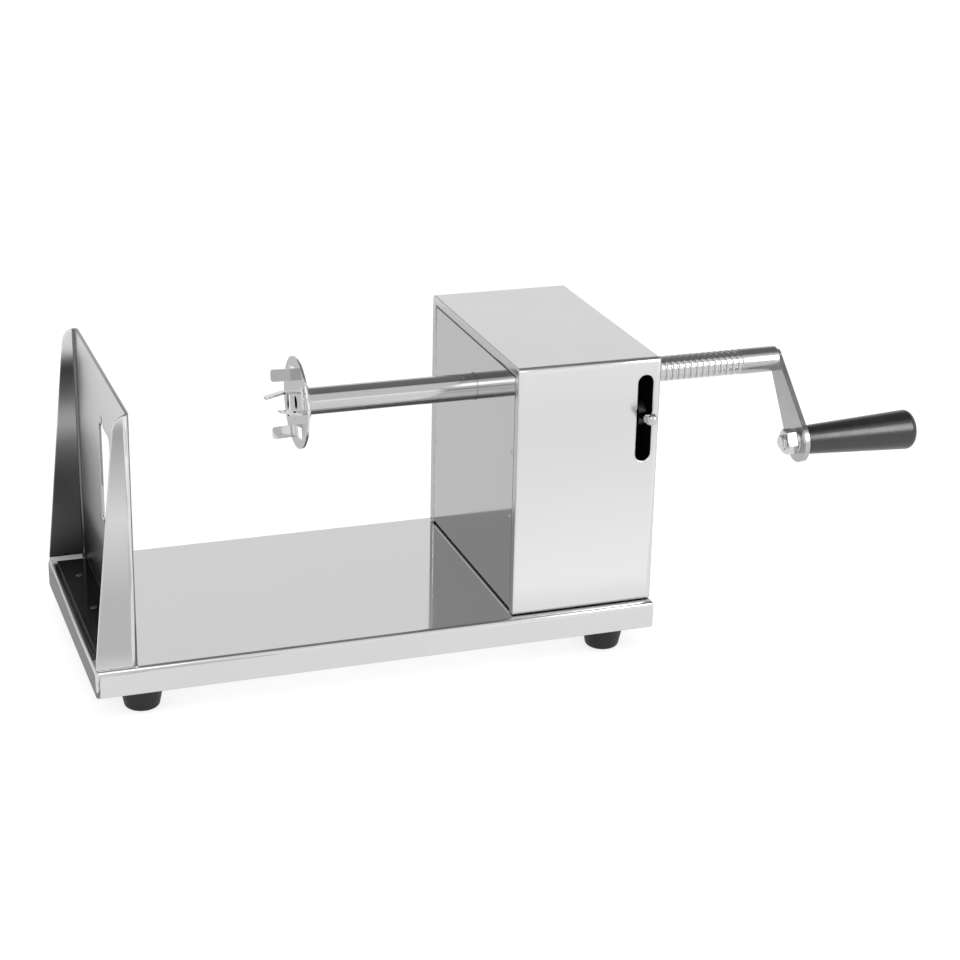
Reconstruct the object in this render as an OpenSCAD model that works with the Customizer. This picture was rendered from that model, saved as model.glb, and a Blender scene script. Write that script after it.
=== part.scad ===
// Hand cranked tornado potato cutter.
// A folded steel tray on rubber feet carries an upright blade plate at one end and a housing at the other.
// A hollow feed screw runs through the housing, pushes a four pronged fork disc towards the blade and is
// turned by a crank. A lever in the housing holds a half nut against the screw and releases it when pressed.
//
// Every module works in tool coordinates: X runs from the tray's blade end towards the crank, Y = 0 is the
// middle of the tray with the lever knob at negative Y, and Z = 0 is the tray's top face.
// place() then moves a piece to the frame of the part: origin on the ground under the middle of the
// part's bounding box.

/* [Tray] */
// Length of the tray
tray_l = 310; // [290:1:360]
// Width of the tray
tray_w = 155; // [150:1:190]
// Depth of the tray's skirt
tray_h = 14.8; // [12:0.1:24]
// Thickness of the tray's sheet
tray_t = 1.2; // [0.8:0.1:2]
// Outer radius of the tray's bends
tray_bend_r = 2.6; // [2.2:0.1:5]
// Width of the flanges folded in under the long skirts
return_flange_w = 27; // [26:0.5:34]

/* [Feet] */
// Height of a foot below the skirt
foot_h = 13; // [10:0.5:20]
// Diameter of a foot at its top
foot_top_d = 23.5; // [20:0.5:25]
// Diameter of a foot at its bottom
foot_bottom_d = 19; // [15:0.5:20]
// Radius of a foot's lower edge
foot_edge_r = 2.4; // [1:0.1:3]
// Distance from the tray's ends to the middle of a foot
foot_inset_x = 25.6; // [20:0.2:40]

/* [Blade plate] */
// Drop of the blade plate's top below the housing's top
plate_drop = 4; // [0:0.2:10]
// Gap between the tray's sides and the blade plate
plate_side_gap = 2.3; // [2.2:0.1:8]
// Thickness of the blade plate's sheet
plate_t = 1.6; // [1.2:0.1:2.2]
// Outer radius of the blade plate's bends
plate_bend_r = 3.2; // [3:0.1:5]
// Depth of a side flange at its foot
flange_foot_w = 22.2; // [18:0.2:26]
// Depth of a side flange at its top
flange_top_w = 9; // [8.4:0.2:14]
// Radius of a side flange's upper corner
flange_corner_r = 8; // [4:0.1:8.2]
// Gap between the side flanges and the tray's blade end
plate_end_gap = 0.5; // [0:0.1:3]
// Depth of the flange that is folded along the tray
plate_sole_w = 17; // [16:0.2:17.5]

/* [Window and blade] */
// Width of the notch that lets the skewer through
notch_d = 5.8; // [5:0.1:8]
// Height of the window below the notch
window_h = 58; // [52:0.5:62]
// Reach of the window to the far side of the screw's axis
window_far = 9.5; // [8:0.1:14]
// Reach of the window to the near side of the screw's axis
window_near = 22; // [20:0.1:24]
// Radius of the window's corners
window_r = 5; // [3:0.1:6]
// Thickness of the blade
blade_t = 1.5; // [1:0.1:2]
// Gap between the plate and the blade, which sets the slice
slice_gap = 4.6; // [4.4:0.1:5]
// Length of the cutting edge
blade_edge_h = 49; // [44:0.5:50]
// Gap between the screw's axis and the upper end of the blade
blade_axis_gap = 4; // [3.5:0.1:6]
// Reach of the cutting edge past the screw's axis
edge_reach = 1; // [0:0.1:3]
// Length of the ground bevel behind the cutting edge
bevel_l = 4.5; // [3:0.1:6]
// Width of the blade's foot on the plate
blade_foot_w = 14; // [13:0.1:16]

/* [Housing] */
// Length of the housing
housing_l = 81.5; // [80:0.1:84]
// Gap between the tray's sides and the housing
housing_side_gap = 5.3; // [3:0.1:7]
// Height of the housing above the tray
housing_h = 140.6; // [138:0.2:160]
// Thickness of the housing's sheet
housing_t = 1.2; // [0.8:0.1:1.4]
// Outer radius of the housing's bends
housing_bend_r = 2.6; // [2.2:0.1:4]
// Gap between the housing and the crank end of the tray
housing_end_gap = 0.6; // [0.2:0.1:3]
// Gap under the housing's walls
housing_foot_gap = 0.6; // [0.3:0.1:1]
// Width of the lip round the housing's open side
lip_w = 5; // [4:0.1:6]
// Width of the sunk tongue that the side plate is riveted to
tongue_w = 12; // [11:0.1:14]
// Seam between the lip and the side plate
seam = 0.5; // [0.3:0.05:0.8]
// Width of the lever slot
slot_w = 9; // [8.4:0.1:11]
// Length of the lever slot
slot_h = 49; // [48:0.2:54]
// Drop of the slot's lower end below the screw's axis
slot_drop = 25.8; // [25:0.1:28]
// Diameter of the hole for the screw in the housing's end wall
housing_hole_d = 17; // [16.6:0.1:20]

/* [Drive frame] */
// Thickness of the drive frame's sheet
frame_t = 1.5; // [1.2:0.1:1.6]
// Outer radius of the drive frame's bends
frame_bend_r = 3; // [2.8:0.1:5]
// Gap between the drive frame's floor and the housing's tabs
floor_gap = 9; // [6:0.5:12]
// Gap between the drive frame's inner upright and the housing's top
inner_upright_gap = 7.4; // [5:0.2:11]
// Length of the shelf under the spring
shelf_l = 18.5; // [17:0.1:19]
// Width of the shelf under the spring
shelf_w = 16; // [14:0.5:20]
// Distance from the shelf to the near edge of the inner upright
shelf_inset = 4; // [2:0.1:6]
// Drop of the shelf's upper face below the screw's axis
shelf_drop = 44.7; // [43:0.1:48]
// Outer diameter of a bush
bush_d = 22; // [20:0.1:26]
// Diameter of a bush's flange
bush_flange_d = 30; // [28:0.1:34]
// Thickness of a bush's flange
bush_flange_t = 3; // [2:0.1:3.5]
// Length of a bush
bush_l = 11; // [9:0.1:12]
// Gap between the inner bush and the half nut's screws
bush_screw_gap = 2; // [1:0.1:3]

/* [Feed screw] */
// Drop of the screw's axis below the housing's top
axis_drop = 32.4; // [31:0.1:36]
// Outer diameter of the feed tube
tube_d = 15; // [14.8:0.1:15.6]
// Bore of the feed tube, for the skewer
skewer_bore_d = 7; // [5:0.1:7.6]
// Diameter of the tube where the thread sleeve sits
tube_neck_d = 11.6; // [11:0.1:11.8]
// Distance between the fork disc and the housing
disc_gap = 101.4; // [90:0.1:110]
// Distance from the housing's open side to the start of the thread
thread_inset = 8.1; // [7:0.1:10]
// Length of the threaded sleeve
thread_l = 154; // [150:0.1:160]
// Pitch of the thread
pitch = 3.75; // [3.4:0.05:4]
// Diameter over the thread's crests
crest_d = 14.5; // [14.3:0.05:14.6]
// Depth of the thread's groove
groove_depth = 0.75; // [0.7:0.01:0.8]
// Width of the thread's groove at the crests
groove_w = 1.5; // [1.4:0.01:1.7]
// Width of the thread's groove at its floor
groove_floor_w = 0.9; // [0.8:0.01:1]
// Radial running clearance of the tube in its bushes and collar
running_gap = 0.05; // [0.02:0.01:0.09]

/* [Fork disc] */
// Diameter of the fork disc
disc_d = 50.5; // [46:0.5:56]
// Thickness of the fork disc and its prongs
disc_t = 1.2; // [1:0.1:2]
// Length of a prong
prong_l = 13.5; // [12:0.5:15]
// Straight foot of a prong before it leans
prong_foot_l = 3; // [2:0.5:5]
// Width of a prong
prong_w = 6.6; // [5:0.1:7]
// Distance from the disc's axis to the middle of a prong, as a share of the disc's radius
prong_place_share = 0.63; // [0.6:0.01:0.65]
// Distance of a prong's bend from the line through the disc's axis
prong_bend = 3.4; // [0.5:0.1:5]
// Turn of the four prongs about the disc's axis at rest
prong_turn = 10; // [0:1:45]
// Lean of a prong towards its window
prong_lean = 12; // [0:1:20]
// Radius of a prong's tip corners
prong_tip_r = 1.3; // [1:0.1:2.4]
// Outer diameter of the collar behind the disc
collar_d = 21; // [19:0.5:26]
// Length of the collar behind the disc
collar_l = 4.5; // [3:0.1:5]

/* [Crank] */
// Distance from the screw's axis to the handle's bolt
crank_r = 52; // [45:0.5:60]
// Swing of the crank from straight down towards the lever side
crank_swing = 42; // [0:1:80]
// Thickness of the crank arm
arm_t = 3; // [2.5:0.1:4]
// Length of the hub between the thread and the crank arm
hub_l = 22.4; // [18:0.1:30]
// Radius of the crank arm's upper end
arm_top_r = 5.6; // [5.4:0.1:6.6]
// Radius of the crank arm's lower end
arm_bottom_r = 12.3; // [10:0.1:14]

/* [Handle] */
// Length of the handle grip
grip_l = 70.2; // [60:0.1:90]
// Diameter of the grip at the arm
grip_neck_d = 16.5; // [15:0.1:20]
// Diameter of the grip near its end
grip_end_d = 23; // [20:0.1:27]
// Radius of the grip's end edge
grip_edge_r = 4; // [2:0.1:5]
// Radius of the grip's edge at the arm
grip_neck_r = 1.5; // [1:0.1:2]
// Running gap between the arm and the grip
grip_gap = 0.4; // [0.3:0.05:0.8]
// Diameter of the handle's bolt
handle_bolt_d = 8; // [6:0.1:8.4]

/* [Release lever] */
// Distance from the housing's far side to the lever's pivot
pivot_side_gap = 15.2; // [14:0.1:17]
// Rise of the lever from its pivot towards the knob
lever_rise = 7.5; // [7:0.1:8]
// Thickness of the lever bar
lever_t = 4; // [3:0.1:4.4]
// Depth of the lever bar
lever_w = 13; // [12:0.1:13.4]
// Drop of the lever's middle line below the screw's axis
lever_drop = 9.5; // [9:0.1:10]
// Gap between the housing's end wall and the half nut
half_nut_gap = 0.9; // [0.5:0.1:1.4]
// Gap between the lever's end and the housing's front wall
lever_end_gap = 1; // [0.8:0.1:3]
// Diameter of the knob's pin
knob_pin_d = 4.6; // [4:0.1:5.6]
// Diameter of the knob
knob_d = 7; // [6:0.1:10]
// Length of the knob
knob_l = 9; // [8:0.1:14]
// Reach of the knob in front of the housing
knob_reach = 13; // [11:0.1:20]
// Diameter of the lever's pivot
pivot_d = 8; // [6:0.1:9]
// Diameter of the pivot's shoulder
pivot_shoulder_d = 12; // [11:0.1:13]
// Length of the half nut along the screw
half_nut_l = 5; // [4.4:0.1:5.2]
// Width of the half nut
half_nut_w = 26; // [25:0.1:28]
// Gap between the thread's crests and the half nut's saddle
saddle_gap = 0.45; // [0.4:0.01:0.5]
// Engagement of the half nut's tooth below the crests
tooth_depth = 0.4; // [0.35:0.01:0.42]
// Thickness of the half nut's tooth
tooth_t = 0.5; // [0.4:0.01:0.6]

/* [Spring] */
// Outer diameter of the spring
spring_d = 9; // [8:0.1:10]
// Diameter of the spring's wire
wire_d = 1.1; // [0.9:0.1:1.2]
// Number of curls in the spring
spring_curls = 8; // [6:1:9]

/* [Fasteners] */
// Diameter of the larger screws
big_screw_d = 5; // [4:0.1:5.4]
// Diameter of the smaller screws
small_screw_d = 4; // [3:0.1:4.2]
// Diameter of the half nut's screws
tiny_screw_d = 3; // [2.5:0.1:3.2]
// Diameter of the side plate's rivets
rivet_d = 2.5; // [2.2:0.1:4]

/* [Hidden] */
$fn = 48;
// Overrun of every cut past the face that it opens
over = 0.5;
// Gap between moving faces that pass each other
side_gap = 0.3;
// Radial gap of a screw in its hole
hole_gap = 0.1;

// Proportions of a screw's head and nut, as shares of its diameter
head_d_share = 1.8;
head_h_share = 0.6;
nut_af_share = 1.63;
nut_h_share = 0.8;
washer_d_share = 1.85;
washer_t_share = 0.18;
point_share = 0.2;
bolt_head_d_share = 1.6;
bolt_tip_share = 0.3;
rivet_head_d_share = 1.3;
rivet_head_h_share = 0.08;
rivet_z_shares = [0.4, 0.68];
// Half width of the crank arm's straight sides, as a share of its end radii
arm_side_share = 0.98;

// Tray and feet
return_z = -tray_h;
foot_y = tray_w / 2 - tray_t - foot_top_d / 2 - side_gap;
foot_xs = [foot_inset_x, tray_l - foot_inset_x];
foot_counterbore_d = big_screw_d * head_d_share + 2 * side_gap;
foot_counterbore_h = foot_h / 2;
stand_h = tray_h + foot_h;
// Hole in the return flange through which a screwdriver reaches the housing's screws
driver_hole_d = 3 * small_screw_d;

// Housing's outer sizes and the screw's axis
housing_w = tray_w - 2 * housing_side_gap;
axis_z = housing_h - axis_drop;

// Blade plate
plate_w = tray_w - 2 * plate_side_gap;
plate_h = housing_h - plate_drop;
plate_x = plate_end_gap + flange_foot_w;
plate_back_x = plate_x - plate_t;
sole_screw_x = plate_back_x - plate_sole_w / 2;
sole_w = plate_w - 4 * plate_bend_r;
sole_screw_ys = [-sole_w / 3, 0, sole_w / 3];

// Window and blade
window_top = axis_z - notch_d / 2;
window_bottom = window_top - window_h;
blade_top = axis_z - blade_axis_gap;
blade_x = plate_x + slice_gap;
blade_riser_y = -window_near - 2 * blade_t;
blade_foot_y = blade_riser_y - blade_foot_w;
blade_screw_y = blade_riser_y - blade_foot_w / 2 - blade_t / 2;
blade_screw_zs = [blade_top - blade_edge_h / 4, blade_top - 3 * blade_edge_h / 4];

// Housing
housing_x1 = tray_l - housing_end_gap;
housing_x = housing_x1 - housing_l;
front_y = -housing_w / 2;
slot_x = housing_x1 - housing_t - half_nut_gap - half_nut_l - lever_t / 2;
slot_z = axis_z - slot_drop;
side_plate_sink = 0.3;
tongue_x = housing_x + side_plate_sink + frame_t;
tab_w = 14;
tab_l = 12;
wall_tab_x = housing_x + 3 * lip_w + tab_w / 4;
wall_tab_y = housing_w / 2 - housing_t - tab_l / 2;
end_tab_x = housing_x1 - housing_t - tab_l / 2;
end_tab_y = housing_w / 4;

// Drive frame, whose outer upright closes the housing's open side
side_plate_x = housing_x + side_plate_sink;
side_plate_w = housing_w - 2 * (lip_w + seam);
side_plate_h = housing_h - lip_w - seam;
inner_upright_x = slot_x - lever_t / 2 - tiny_screw_d * head_h_share - bush_screw_gap
  - (bush_l - bush_flange_t - frame_t);
frame_l = inner_upright_x - side_plate_x;
frame_floor_w = housing_w - 2 * (housing_t + tab_l + floor_gap);
inner_upright_h = housing_h - housing_t - inner_upright_gap;
shelf_z = axis_z - shelf_drop;
frame_hole_d = tube_d + 2 * side_gap;
rivet_y = side_plate_w / 2 - tongue_w / 3;
rivet_zs = rivet_z_shares * side_plate_h;
rivet_head_h = rivet_head_h_share * rivet_d;
rivet_head_r = rivet_head_d_share * rivet_d / 2;
frame_screw_xs = [side_plate_x + frame_l / 4, side_plate_x + 3 * frame_l / 4];
frame_screw_y = frame_floor_w / 2 - 2 * big_screw_d;

// Feed screw and the crank arm at its end
bore_r = tube_d / 2 + running_gap;
disc_x = housing_x - disc_gap;
tube_x = disc_x + disc_t;
thread_x = housing_x + thread_inset;
thread_end_x = thread_x + thread_l;
arm_x = thread_end_x + hub_l;
tube_end_x = arm_x + arm_t;
hub_r = crest_d / 2 + hole_gap;
// Length of the hub that holds the arm's upper end
hub_weld = 0.4;
thread_columns = 16;
tooth_x = slot_x + lever_t / 2 + half_nut_l / 2;
// The sleeve's bore is a polygon that stands just outside the tube's neck
sleeve_bore_r = tube_neck_d / 2 / cos(180 / thread_columns) + hole_gap / 4;
lead = atan(pitch / (PI * crest_d));

// Crank and handle
crank_y = -crank_r * sin(crank_swing);
crank_z = axis_z - crank_r * cos(crank_swing);
grip_x = tube_end_x + grip_gap;
grip_end_x = grip_x + grip_l;
grip_bore_d = handle_bolt_d + 2 * running_gap;
grip_head_pocket_l = 2 * handle_bolt_d;
grip_head_pocket_d = handle_bolt_d * bolt_head_d_share + 2 * side_gap;
handle_washer_t = handle_bolt_d * washer_t_share;
handle_nut_h = handle_bolt_d * nut_h_share;
bolt_tip = handle_bolt_d * bolt_tip_share;

// Release lever
lever_pivot_y = housing_w / 2 - pivot_side_gap;
lever_pivot_z = axis_z - lever_drop - lever_pivot_y * tan(lever_rise);
lever_end_y = front_y + housing_t + lever_end_gap + lever_w / 2;
lever_l = (lever_pivot_y - lever_end_y) / cos(lever_rise);
knob_end_s = (lever_pivot_y - front_y + knob_reach) / cos(lever_rise);
lever_notch_r = crest_d / 2 + 4 * saddle_gap;
saddle_r = crest_d / 2 + saddle_gap;
half_nut_top = axis_z - saddle_r / 3;
half_nut_bottom = axis_z - saddle_r - lever_w / 2;
half_nut_screw_y = half_nut_w / 2 - 4 / 3 * tiny_screw_d;
half_nut_screw_z = axis_z - lever_notch_r - tiny_screw_d;
// The tooth's length round the screw, and its root in the half nut
tooth_l = 8 * tooth_t;
tooth_root = 1;
pivot_clip_t = 1;
pivot_groove_d = 3 / 4 * pivot_d;
pivot_tip = 1.5;

// Spring
spring_y = frame_floor_w / 2 - shelf_w / 2 - shelf_inset;
spring_seat_h = 2.5;
spring_seat_w = spring_d + wire_d;
spring_pad_z = axis_z - lever_drop + spring_y * tan(lever_rise) - lever_w / 2 / cos(lever_rise) - spring_seat_h;

// Bounding box of the part, for its origin
reach_y = (knob_end_s - knob_d / 2) * cos(lever_rise) + knob_d / 2 - lever_pivot_y;
mid_x = grip_end_x / 2;
mid_y = (tray_w / 2 - reach_y) / 2;

steel = [0.78, 0.79, 0.8];
bright_steel = [0.86, 0.87, 0.88];
dark_steel = [0.45, 0.46, 0.48];
bronze = [0.72, 0.55, 0.3];
black_rubber = [0.08, 0.08, 0.08];
black_plastic = [0.05, 0.05, 0.06];

// Moves a piece from tool coordinates to the frame of the part
module place() {
  translate([-mid_x, -mid_y, stand_h]) children();
}

// A cylinder along X from x = from to x = to, on the line y, z
module x_rod(from, to, y, z, r) {
  translate([from, y, z]) rotate([0, 90, 0]) cylinder(h = to - from, r = r);
}

// A flat outline drawn in Y and Z, thickened along X from x = from to x = to
module x_plate(from, to) {
  translate([from, 0, 0]) rotate([90, 0, 90]) linear_extrude(to - from) children();
}

// A rectangle from [0, 0] with its two upper corners rounded
module crowned_rectangle(w, h, r) {
  square([w, h - r]);
  translate([r, 0]) square([w - 2 * r, h]);
  translate([r, h - r]) circle(r);
  translate([w - r, h - r]) circle(r);
}

// A rectangle from [0, 0] with four rounded corners
module round_rectangle(w, h, r) {
  translate([0, r]) square([w, h - 2 * r]);
  translate([r, 0]) square([w - 2 * r, h]);
  for (x = [r, w - r], y = [r, h - r]) translate([x, y]) circle(r);
}

// A block standing on Z = 0 whose upper and upright edges are rounded as bent sheet is
module bent_block(l, w, h, r) {
  intersection() {
    linear_extrude(h) round_rectangle(l, w, r);
    translate([0, w, 0]) rotate([90, 0, 0]) linear_extrude(w) crowned_rectangle(l, h, r);
    rotate([90, 0, 90]) linear_extrude(l) crowned_rectangle(w, h, r);
  }
}

// A screw along Z with the seat of its head at z = 0, the head above and the shank of length l below
module screw(d, l) {
  cylinder(h = d * head_h_share, r = d * head_d_share / 2);
  translate([0, 0, -l]) cylinder(h = l, r = d / 2 - hole_gap);
}

// A hexagon nut along Z that stands on z = 0
module nut(d) {
  difference() {
    cylinder(h = d * nut_h_share, r = d * nut_af_share / 2 / cos(30), $fn = 6);
    translate([0, 0, -over]) cylinder(h = d * nut_h_share + 2 * over, r = d / 2 - hole_gap);
  }
}

// Places of the feet, as [x, y]
foot_places = [for (x = foot_xs, y = [-foot_y, foot_y]) [x, y]];
frame_screw_places = [for (x = frame_screw_xs, y = [-frame_screw_y, frame_screw_y]) [x, y]];
wall_tab_places = [[wall_tab_x, -wall_tab_y], [wall_tab_x, wall_tab_y]];
end_tab_places = [[end_tab_x, -end_tab_y], [end_tab_x, end_tab_y]];
tab_places = concat(wall_tab_places, end_tab_places);

module holes(places, d) {
  for (p = places) {
    translate([p[0], p[1], -tray_t - over]) cylinder(h = tray_t + frame_t + 2 * over, r = d / 2);
  }
}

module base_tray() {
  color(steel) place() difference() {
    union() {
      difference() {
        translate([0, -tray_w / 2, -tray_h]) bent_block(tray_l, tray_w, tray_h, tray_bend_r);
        translate([tray_t, tray_t - tray_w / 2, -tray_h - over])
          bent_block(tray_l - 2 * tray_t, tray_w - 2 * tray_t, tray_h - tray_t + over, tray_bend_r - tray_t);
      }
      for (y = [tray_t / 2 - tray_w / 2, tray_w / 2 - tray_t / 2 - return_flange_w]) {
        translate([tray_t, y, return_z]) cube([tray_l - 2 * tray_t, return_flange_w, tray_t]);
      }
    }
    holes(frame_screw_places, big_screw_d);
    holes(tab_places, small_screw_d);
    holes([for (y = sole_screw_ys) [sole_screw_x, y]], small_screw_d);
    for (p = foot_places) {
      translate([p[0], p[1], return_z - over]) cylinder(h = tray_t + 2 * over, r = big_screw_d / 2);
    }
    for (p = wall_tab_places) {
      translate([p[0], p[1], return_z - over]) cylinder(h = tray_t + 2 * over, r = driver_hole_d / 2);
    }
  }
}

// A foot's half section: radius against height, with its lower edge rounded
module foot_section() {
  edge_z = -foot_h + foot_edge_r;
  edge_x = foot_bottom_d / 2 - foot_edge_r;
  polygon([
    [0, -foot_h], [edge_x, -foot_h], [edge_x, edge_z], [foot_bottom_d / 2, edge_z], [foot_top_d / 2, 0], [0, 0]
  ]);
  intersection() {
    translate([edge_x, edge_z]) circle(foot_edge_r);
    translate([0, -foot_h]) square([foot_bottom_d / 2, foot_edge_r]);
  }
}

// A tapered rubber foot below the skirt, with a counterbored hole for its screw
module foot(p) {
  color(black_rubber) place() translate([p[0], p[1], -tray_h]) difference() {
    rotate_extrude() foot_section();
    translate([0, 0, -foot_h - over]) cylinder(h = foot_h + 2 * over, r = big_screw_d / 2);
    translate([0, 0, -foot_h - over]) cylinder(h = foot_counterbore_h + over, r = foot_counterbore_d / 2);
  }
}

module foot_near_blade() { foot(foot_places[0]); }
module foot_far_blade() { foot(foot_places[1]); }
module foot_near_crank() { foot(foot_places[2]); }
module foot_far_crank() { foot(foot_places[3]); }

module foot_screws() {
  shank = foot_h - foot_counterbore_h + tray_t + big_screw_d * (nut_h_share + point_share);
  color(dark_steel) place() for (p = foot_places) {
    translate([p[0], p[1], -tray_h - foot_h + foot_counterbore_h]) rotate([180, 0, 0])
      screw(big_screw_d, shank);
  }
}

module foot_nuts() {
  color(dark_steel) place() for (p = foot_places) {
    translate([p[0], p[1], -tray_h + tray_t]) nut(big_screw_d);
  }
}

// The outline of a side flange in X and Z: sloping front edge and a rounded upper corner
module flange_outline() {
  slope = atan((flange_foot_w - flange_top_w) / plate_h);
  turn_x = plate_x - flange_top_w + flange_corner_r;
  turn_z = plate_h - flange_corner_r;
  polygon([
    [plate_end_gap, 0], [plate_x, 0], [plate_x, plate_h], [turn_x, plate_h], [turn_x, turn_z],
    [turn_x - flange_corner_r * cos(slope), turn_z + flange_corner_r * sin(slope)]
  ]);
  translate([turn_x, turn_z]) circle(flange_corner_r);
}

// The window in Y and Z: a round notch on the screw's axis over a tall rounded opening
module window_outline() {
  translate([0, axis_z]) circle(notch_d / 2);
  translate([-notch_d / 2, axis_z - notch_d]) square([notch_d, notch_d]);
  translate([-window_near, window_bottom]) round_rectangle(window_near + window_far, window_h, window_r);
}

// The plate's section in X and Y: a channel open towards the blade end, from x = 0 to its outer face
module channel_section(w, depth, r) {
  rotate(-90) translate([-w / 2, 0]) crowned_rectangle(w, depth, r);
}

module blade_plate() {
  color(bright_steel) place() difference() {
    union() {
      intersection() {
        difference() {
          linear_extrude(plate_h) channel_section(plate_w, plate_x, plate_bend_r);
          translate([-plate_t, 0, -over]) linear_extrude(plate_h + 2 * over)
            channel_section(plate_w - 2 * plate_t, plate_x, plate_bend_r - plate_t);
        }
        translate([0, plate_w / 2 + over, 0]) rotate([90, 0, 0])
          linear_extrude(plate_w + 2 * over) flange_outline();
      }
      translate([plate_back_x - plate_sole_w, -sole_w / 2, 0])
        cube([plate_sole_w + plate_t / 2, sole_w, plate_t]);
    }
    x_plate(plate_back_x - over, plate_x + over) window_outline();
    for (y = sole_screw_ys) {
      translate([sole_screw_x, y, -over]) cylinder(h = plate_t + 2 * over, r = small_screw_d / 2 - hole_gap);
    }
    for (z = blade_screw_zs) {
      x_rod(plate_back_x - over, plate_x + over, blade_screw_y, z, small_screw_d / 2 - hole_gap);
    }
  }
}

// The blade in X and Y: a foot on the plate, a riser, and a cutter with its bevel ground on the potato side
module blade() {
  color(bright_steel) place() difference() {
    translate([0, 0, blade_top - blade_edge_h]) linear_extrude(blade_edge_h) polygon([
      [plate_x, blade_foot_y], [plate_x, blade_riser_y], [blade_x, blade_riser_y + blade_t],
      [blade_x, edge_reach], [blade_x + blade_t, edge_reach - bevel_l], [blade_x + blade_t, blade_riser_y],
      [plate_x + blade_t, blade_riser_y - blade_t], [plate_x + blade_t, blade_foot_y]
    ]);
    for (z = blade_screw_zs) {
      x_rod(plate_x - over, plate_x + blade_t + over, blade_screw_y, z, small_screw_d / 2);
    }
  }
}

// The blade's screws thread into the plate and end flush with its back
module blade_screws() {
  color(dark_steel) place() for (z = blade_screw_zs) {
    translate([plate_x + blade_t, blade_screw_y, z]) rotate([0, 90, 0]) screw(small_screw_d, blade_t + plate_t);
  }
}

// The plate's screws come from below, thread into its sole and end flush with it
module plate_screws() {
  color(dark_steel) place() for (y = sole_screw_ys) {
    translate([sole_screw_x, y, -tray_t]) rotate([180, 0, 0]) screw(small_screw_d, tray_t + plate_t);
  }
}

// The housing's section in Y and Z, and the opening that its lip leaves on the blade side
module housing_section() {
  translate([front_y, housing_foot_gap])
    crowned_rectangle(housing_w, housing_h - housing_foot_gap, housing_bend_r);
}

module lip_opening(extra) {
  translate([front_y + lip_w - extra, -over])
    square([housing_w - 2 * lip_w + 2 * extra, housing_h - lip_w + over + extra]);
}

// The housing as a solid block that lies inset by t from the sheet's outer faces, open side not yet cut
module housing_block(t, drop) {
  h = housing_h - housing_foot_gap - t + drop;
  translate([housing_x1 - t, housing_w / 2 - t, housing_foot_gap - drop]) rotate(180)
    bent_block(housing_l + housing_bend_r, housing_w - 2 * t, h, housing_bend_r - t);
}

// The lever slot as a cutter through the housing's front wall
module lever_slot() {
  translate([slot_x, 0, slot_z]) rotate([90, 0, 0]) linear_extrude(housing_w) {
    translate([0, slot_w / 2]) circle(slot_w / 2);
    translate([0, slot_h - slot_w / 2]) circle(slot_w / 2);
    translate([-slot_w / 2, slot_w / 2]) square([slot_w, slot_h - slot_w]);
  }
}

module housing_cover() {
  tongue_y = housing_w / 2 - lip_w - tongue_w;
  color(bright_steel) place() difference() {
    union() {
      difference() {
        housing_block(0, 0);
        housing_block(housing_t, over);
        translate([housing_x - 2 * housing_bend_r, front_y - over, 0])
          cube([2 * housing_bend_r, housing_w + 2 * over, housing_h + over]);
      }
      x_plate(housing_x, housing_x + housing_t) difference() {
        housing_section();
        lip_opening(0);
      }
      x_plate(housing_x, tongue_x + housing_t) difference() {
        intersection() {
          housing_section();
          lip_opening(housing_t);
        }
        lip_opening(0);
      }
      for (y = [-tongue_y - tongue_w - housing_t, tongue_y]) {
        translate([tongue_x, y, lip_w]) cube([housing_t, tongue_w + housing_t, housing_h - 3 * lip_w]);
      }
      for (p = wall_tab_places) {
        translate([p[0] - tab_w / 2, p[1] - tab_l / 2 - housing_t / 2, housing_foot_gap])
          cube([tab_w, tab_l + housing_t, housing_t]);
      }
      for (p = end_tab_places) {
        translate([p[0] - tab_l / 2, p[1] - tab_w / 2, housing_foot_gap])
          cube([tab_l + housing_t / 2, tab_w, housing_t]);
      }
    }
    lever_slot();
    x_rod(housing_x1 - housing_t - over, housing_x1 + over, 0, axis_z, housing_hole_d / 2);
    for (y = [-rivet_y, rivet_y], z = rivet_zs) {
      x_rod(tongue_x - over, tongue_x + housing_t + over, y, z, rivet_d / 2);
    }
    for (p = tab_places) {
      translate([p[0], p[1], housing_foot_gap - over])
        cylinder(h = housing_t + 2 * over, r = small_screw_d / 2);
    }
  }
}

module housing_screws() {
  shank = tray_t + housing_foot_gap + housing_t + small_screw_d * point_share;
  color(dark_steel) place() for (p = tab_places) {
    translate([p[0], p[1], -tray_t]) rotate([180, 0, 0]) screw(small_screw_d, shank);
  }
}

// The drive frame's section in X and Z: an outer upright, a floor and a lower inner upright
module frame_section() {
  difference() {
    translate([side_plate_x, 0]) {
      translate([0, frame_bend_r]) square([frame_l, side_plate_h - frame_bend_r]);
      translate([frame_bend_r, 0]) square([frame_l - 2 * frame_bend_r, 2 * frame_bend_r]);
      translate([frame_bend_r, frame_bend_r]) circle(frame_bend_r);
      translate([frame_l - frame_bend_r, frame_bend_r]) circle(frame_bend_r);
    }
    translate([side_plate_x + frame_t, frame_t]) {
      r = frame_bend_r - frame_t;
      w = frame_l - 2 * frame_t;
      translate([0, r]) square([w, side_plate_h]);
      translate([r, 0]) square([w - 2 * r, 2 * r]);
      translate([r, r]) circle(r);
      translate([w - r, r]) circle(r);
    }
    translate([side_plate_x + frame_t + over, inner_upright_h]) square([frame_l, side_plate_h]);
  }
}

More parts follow.
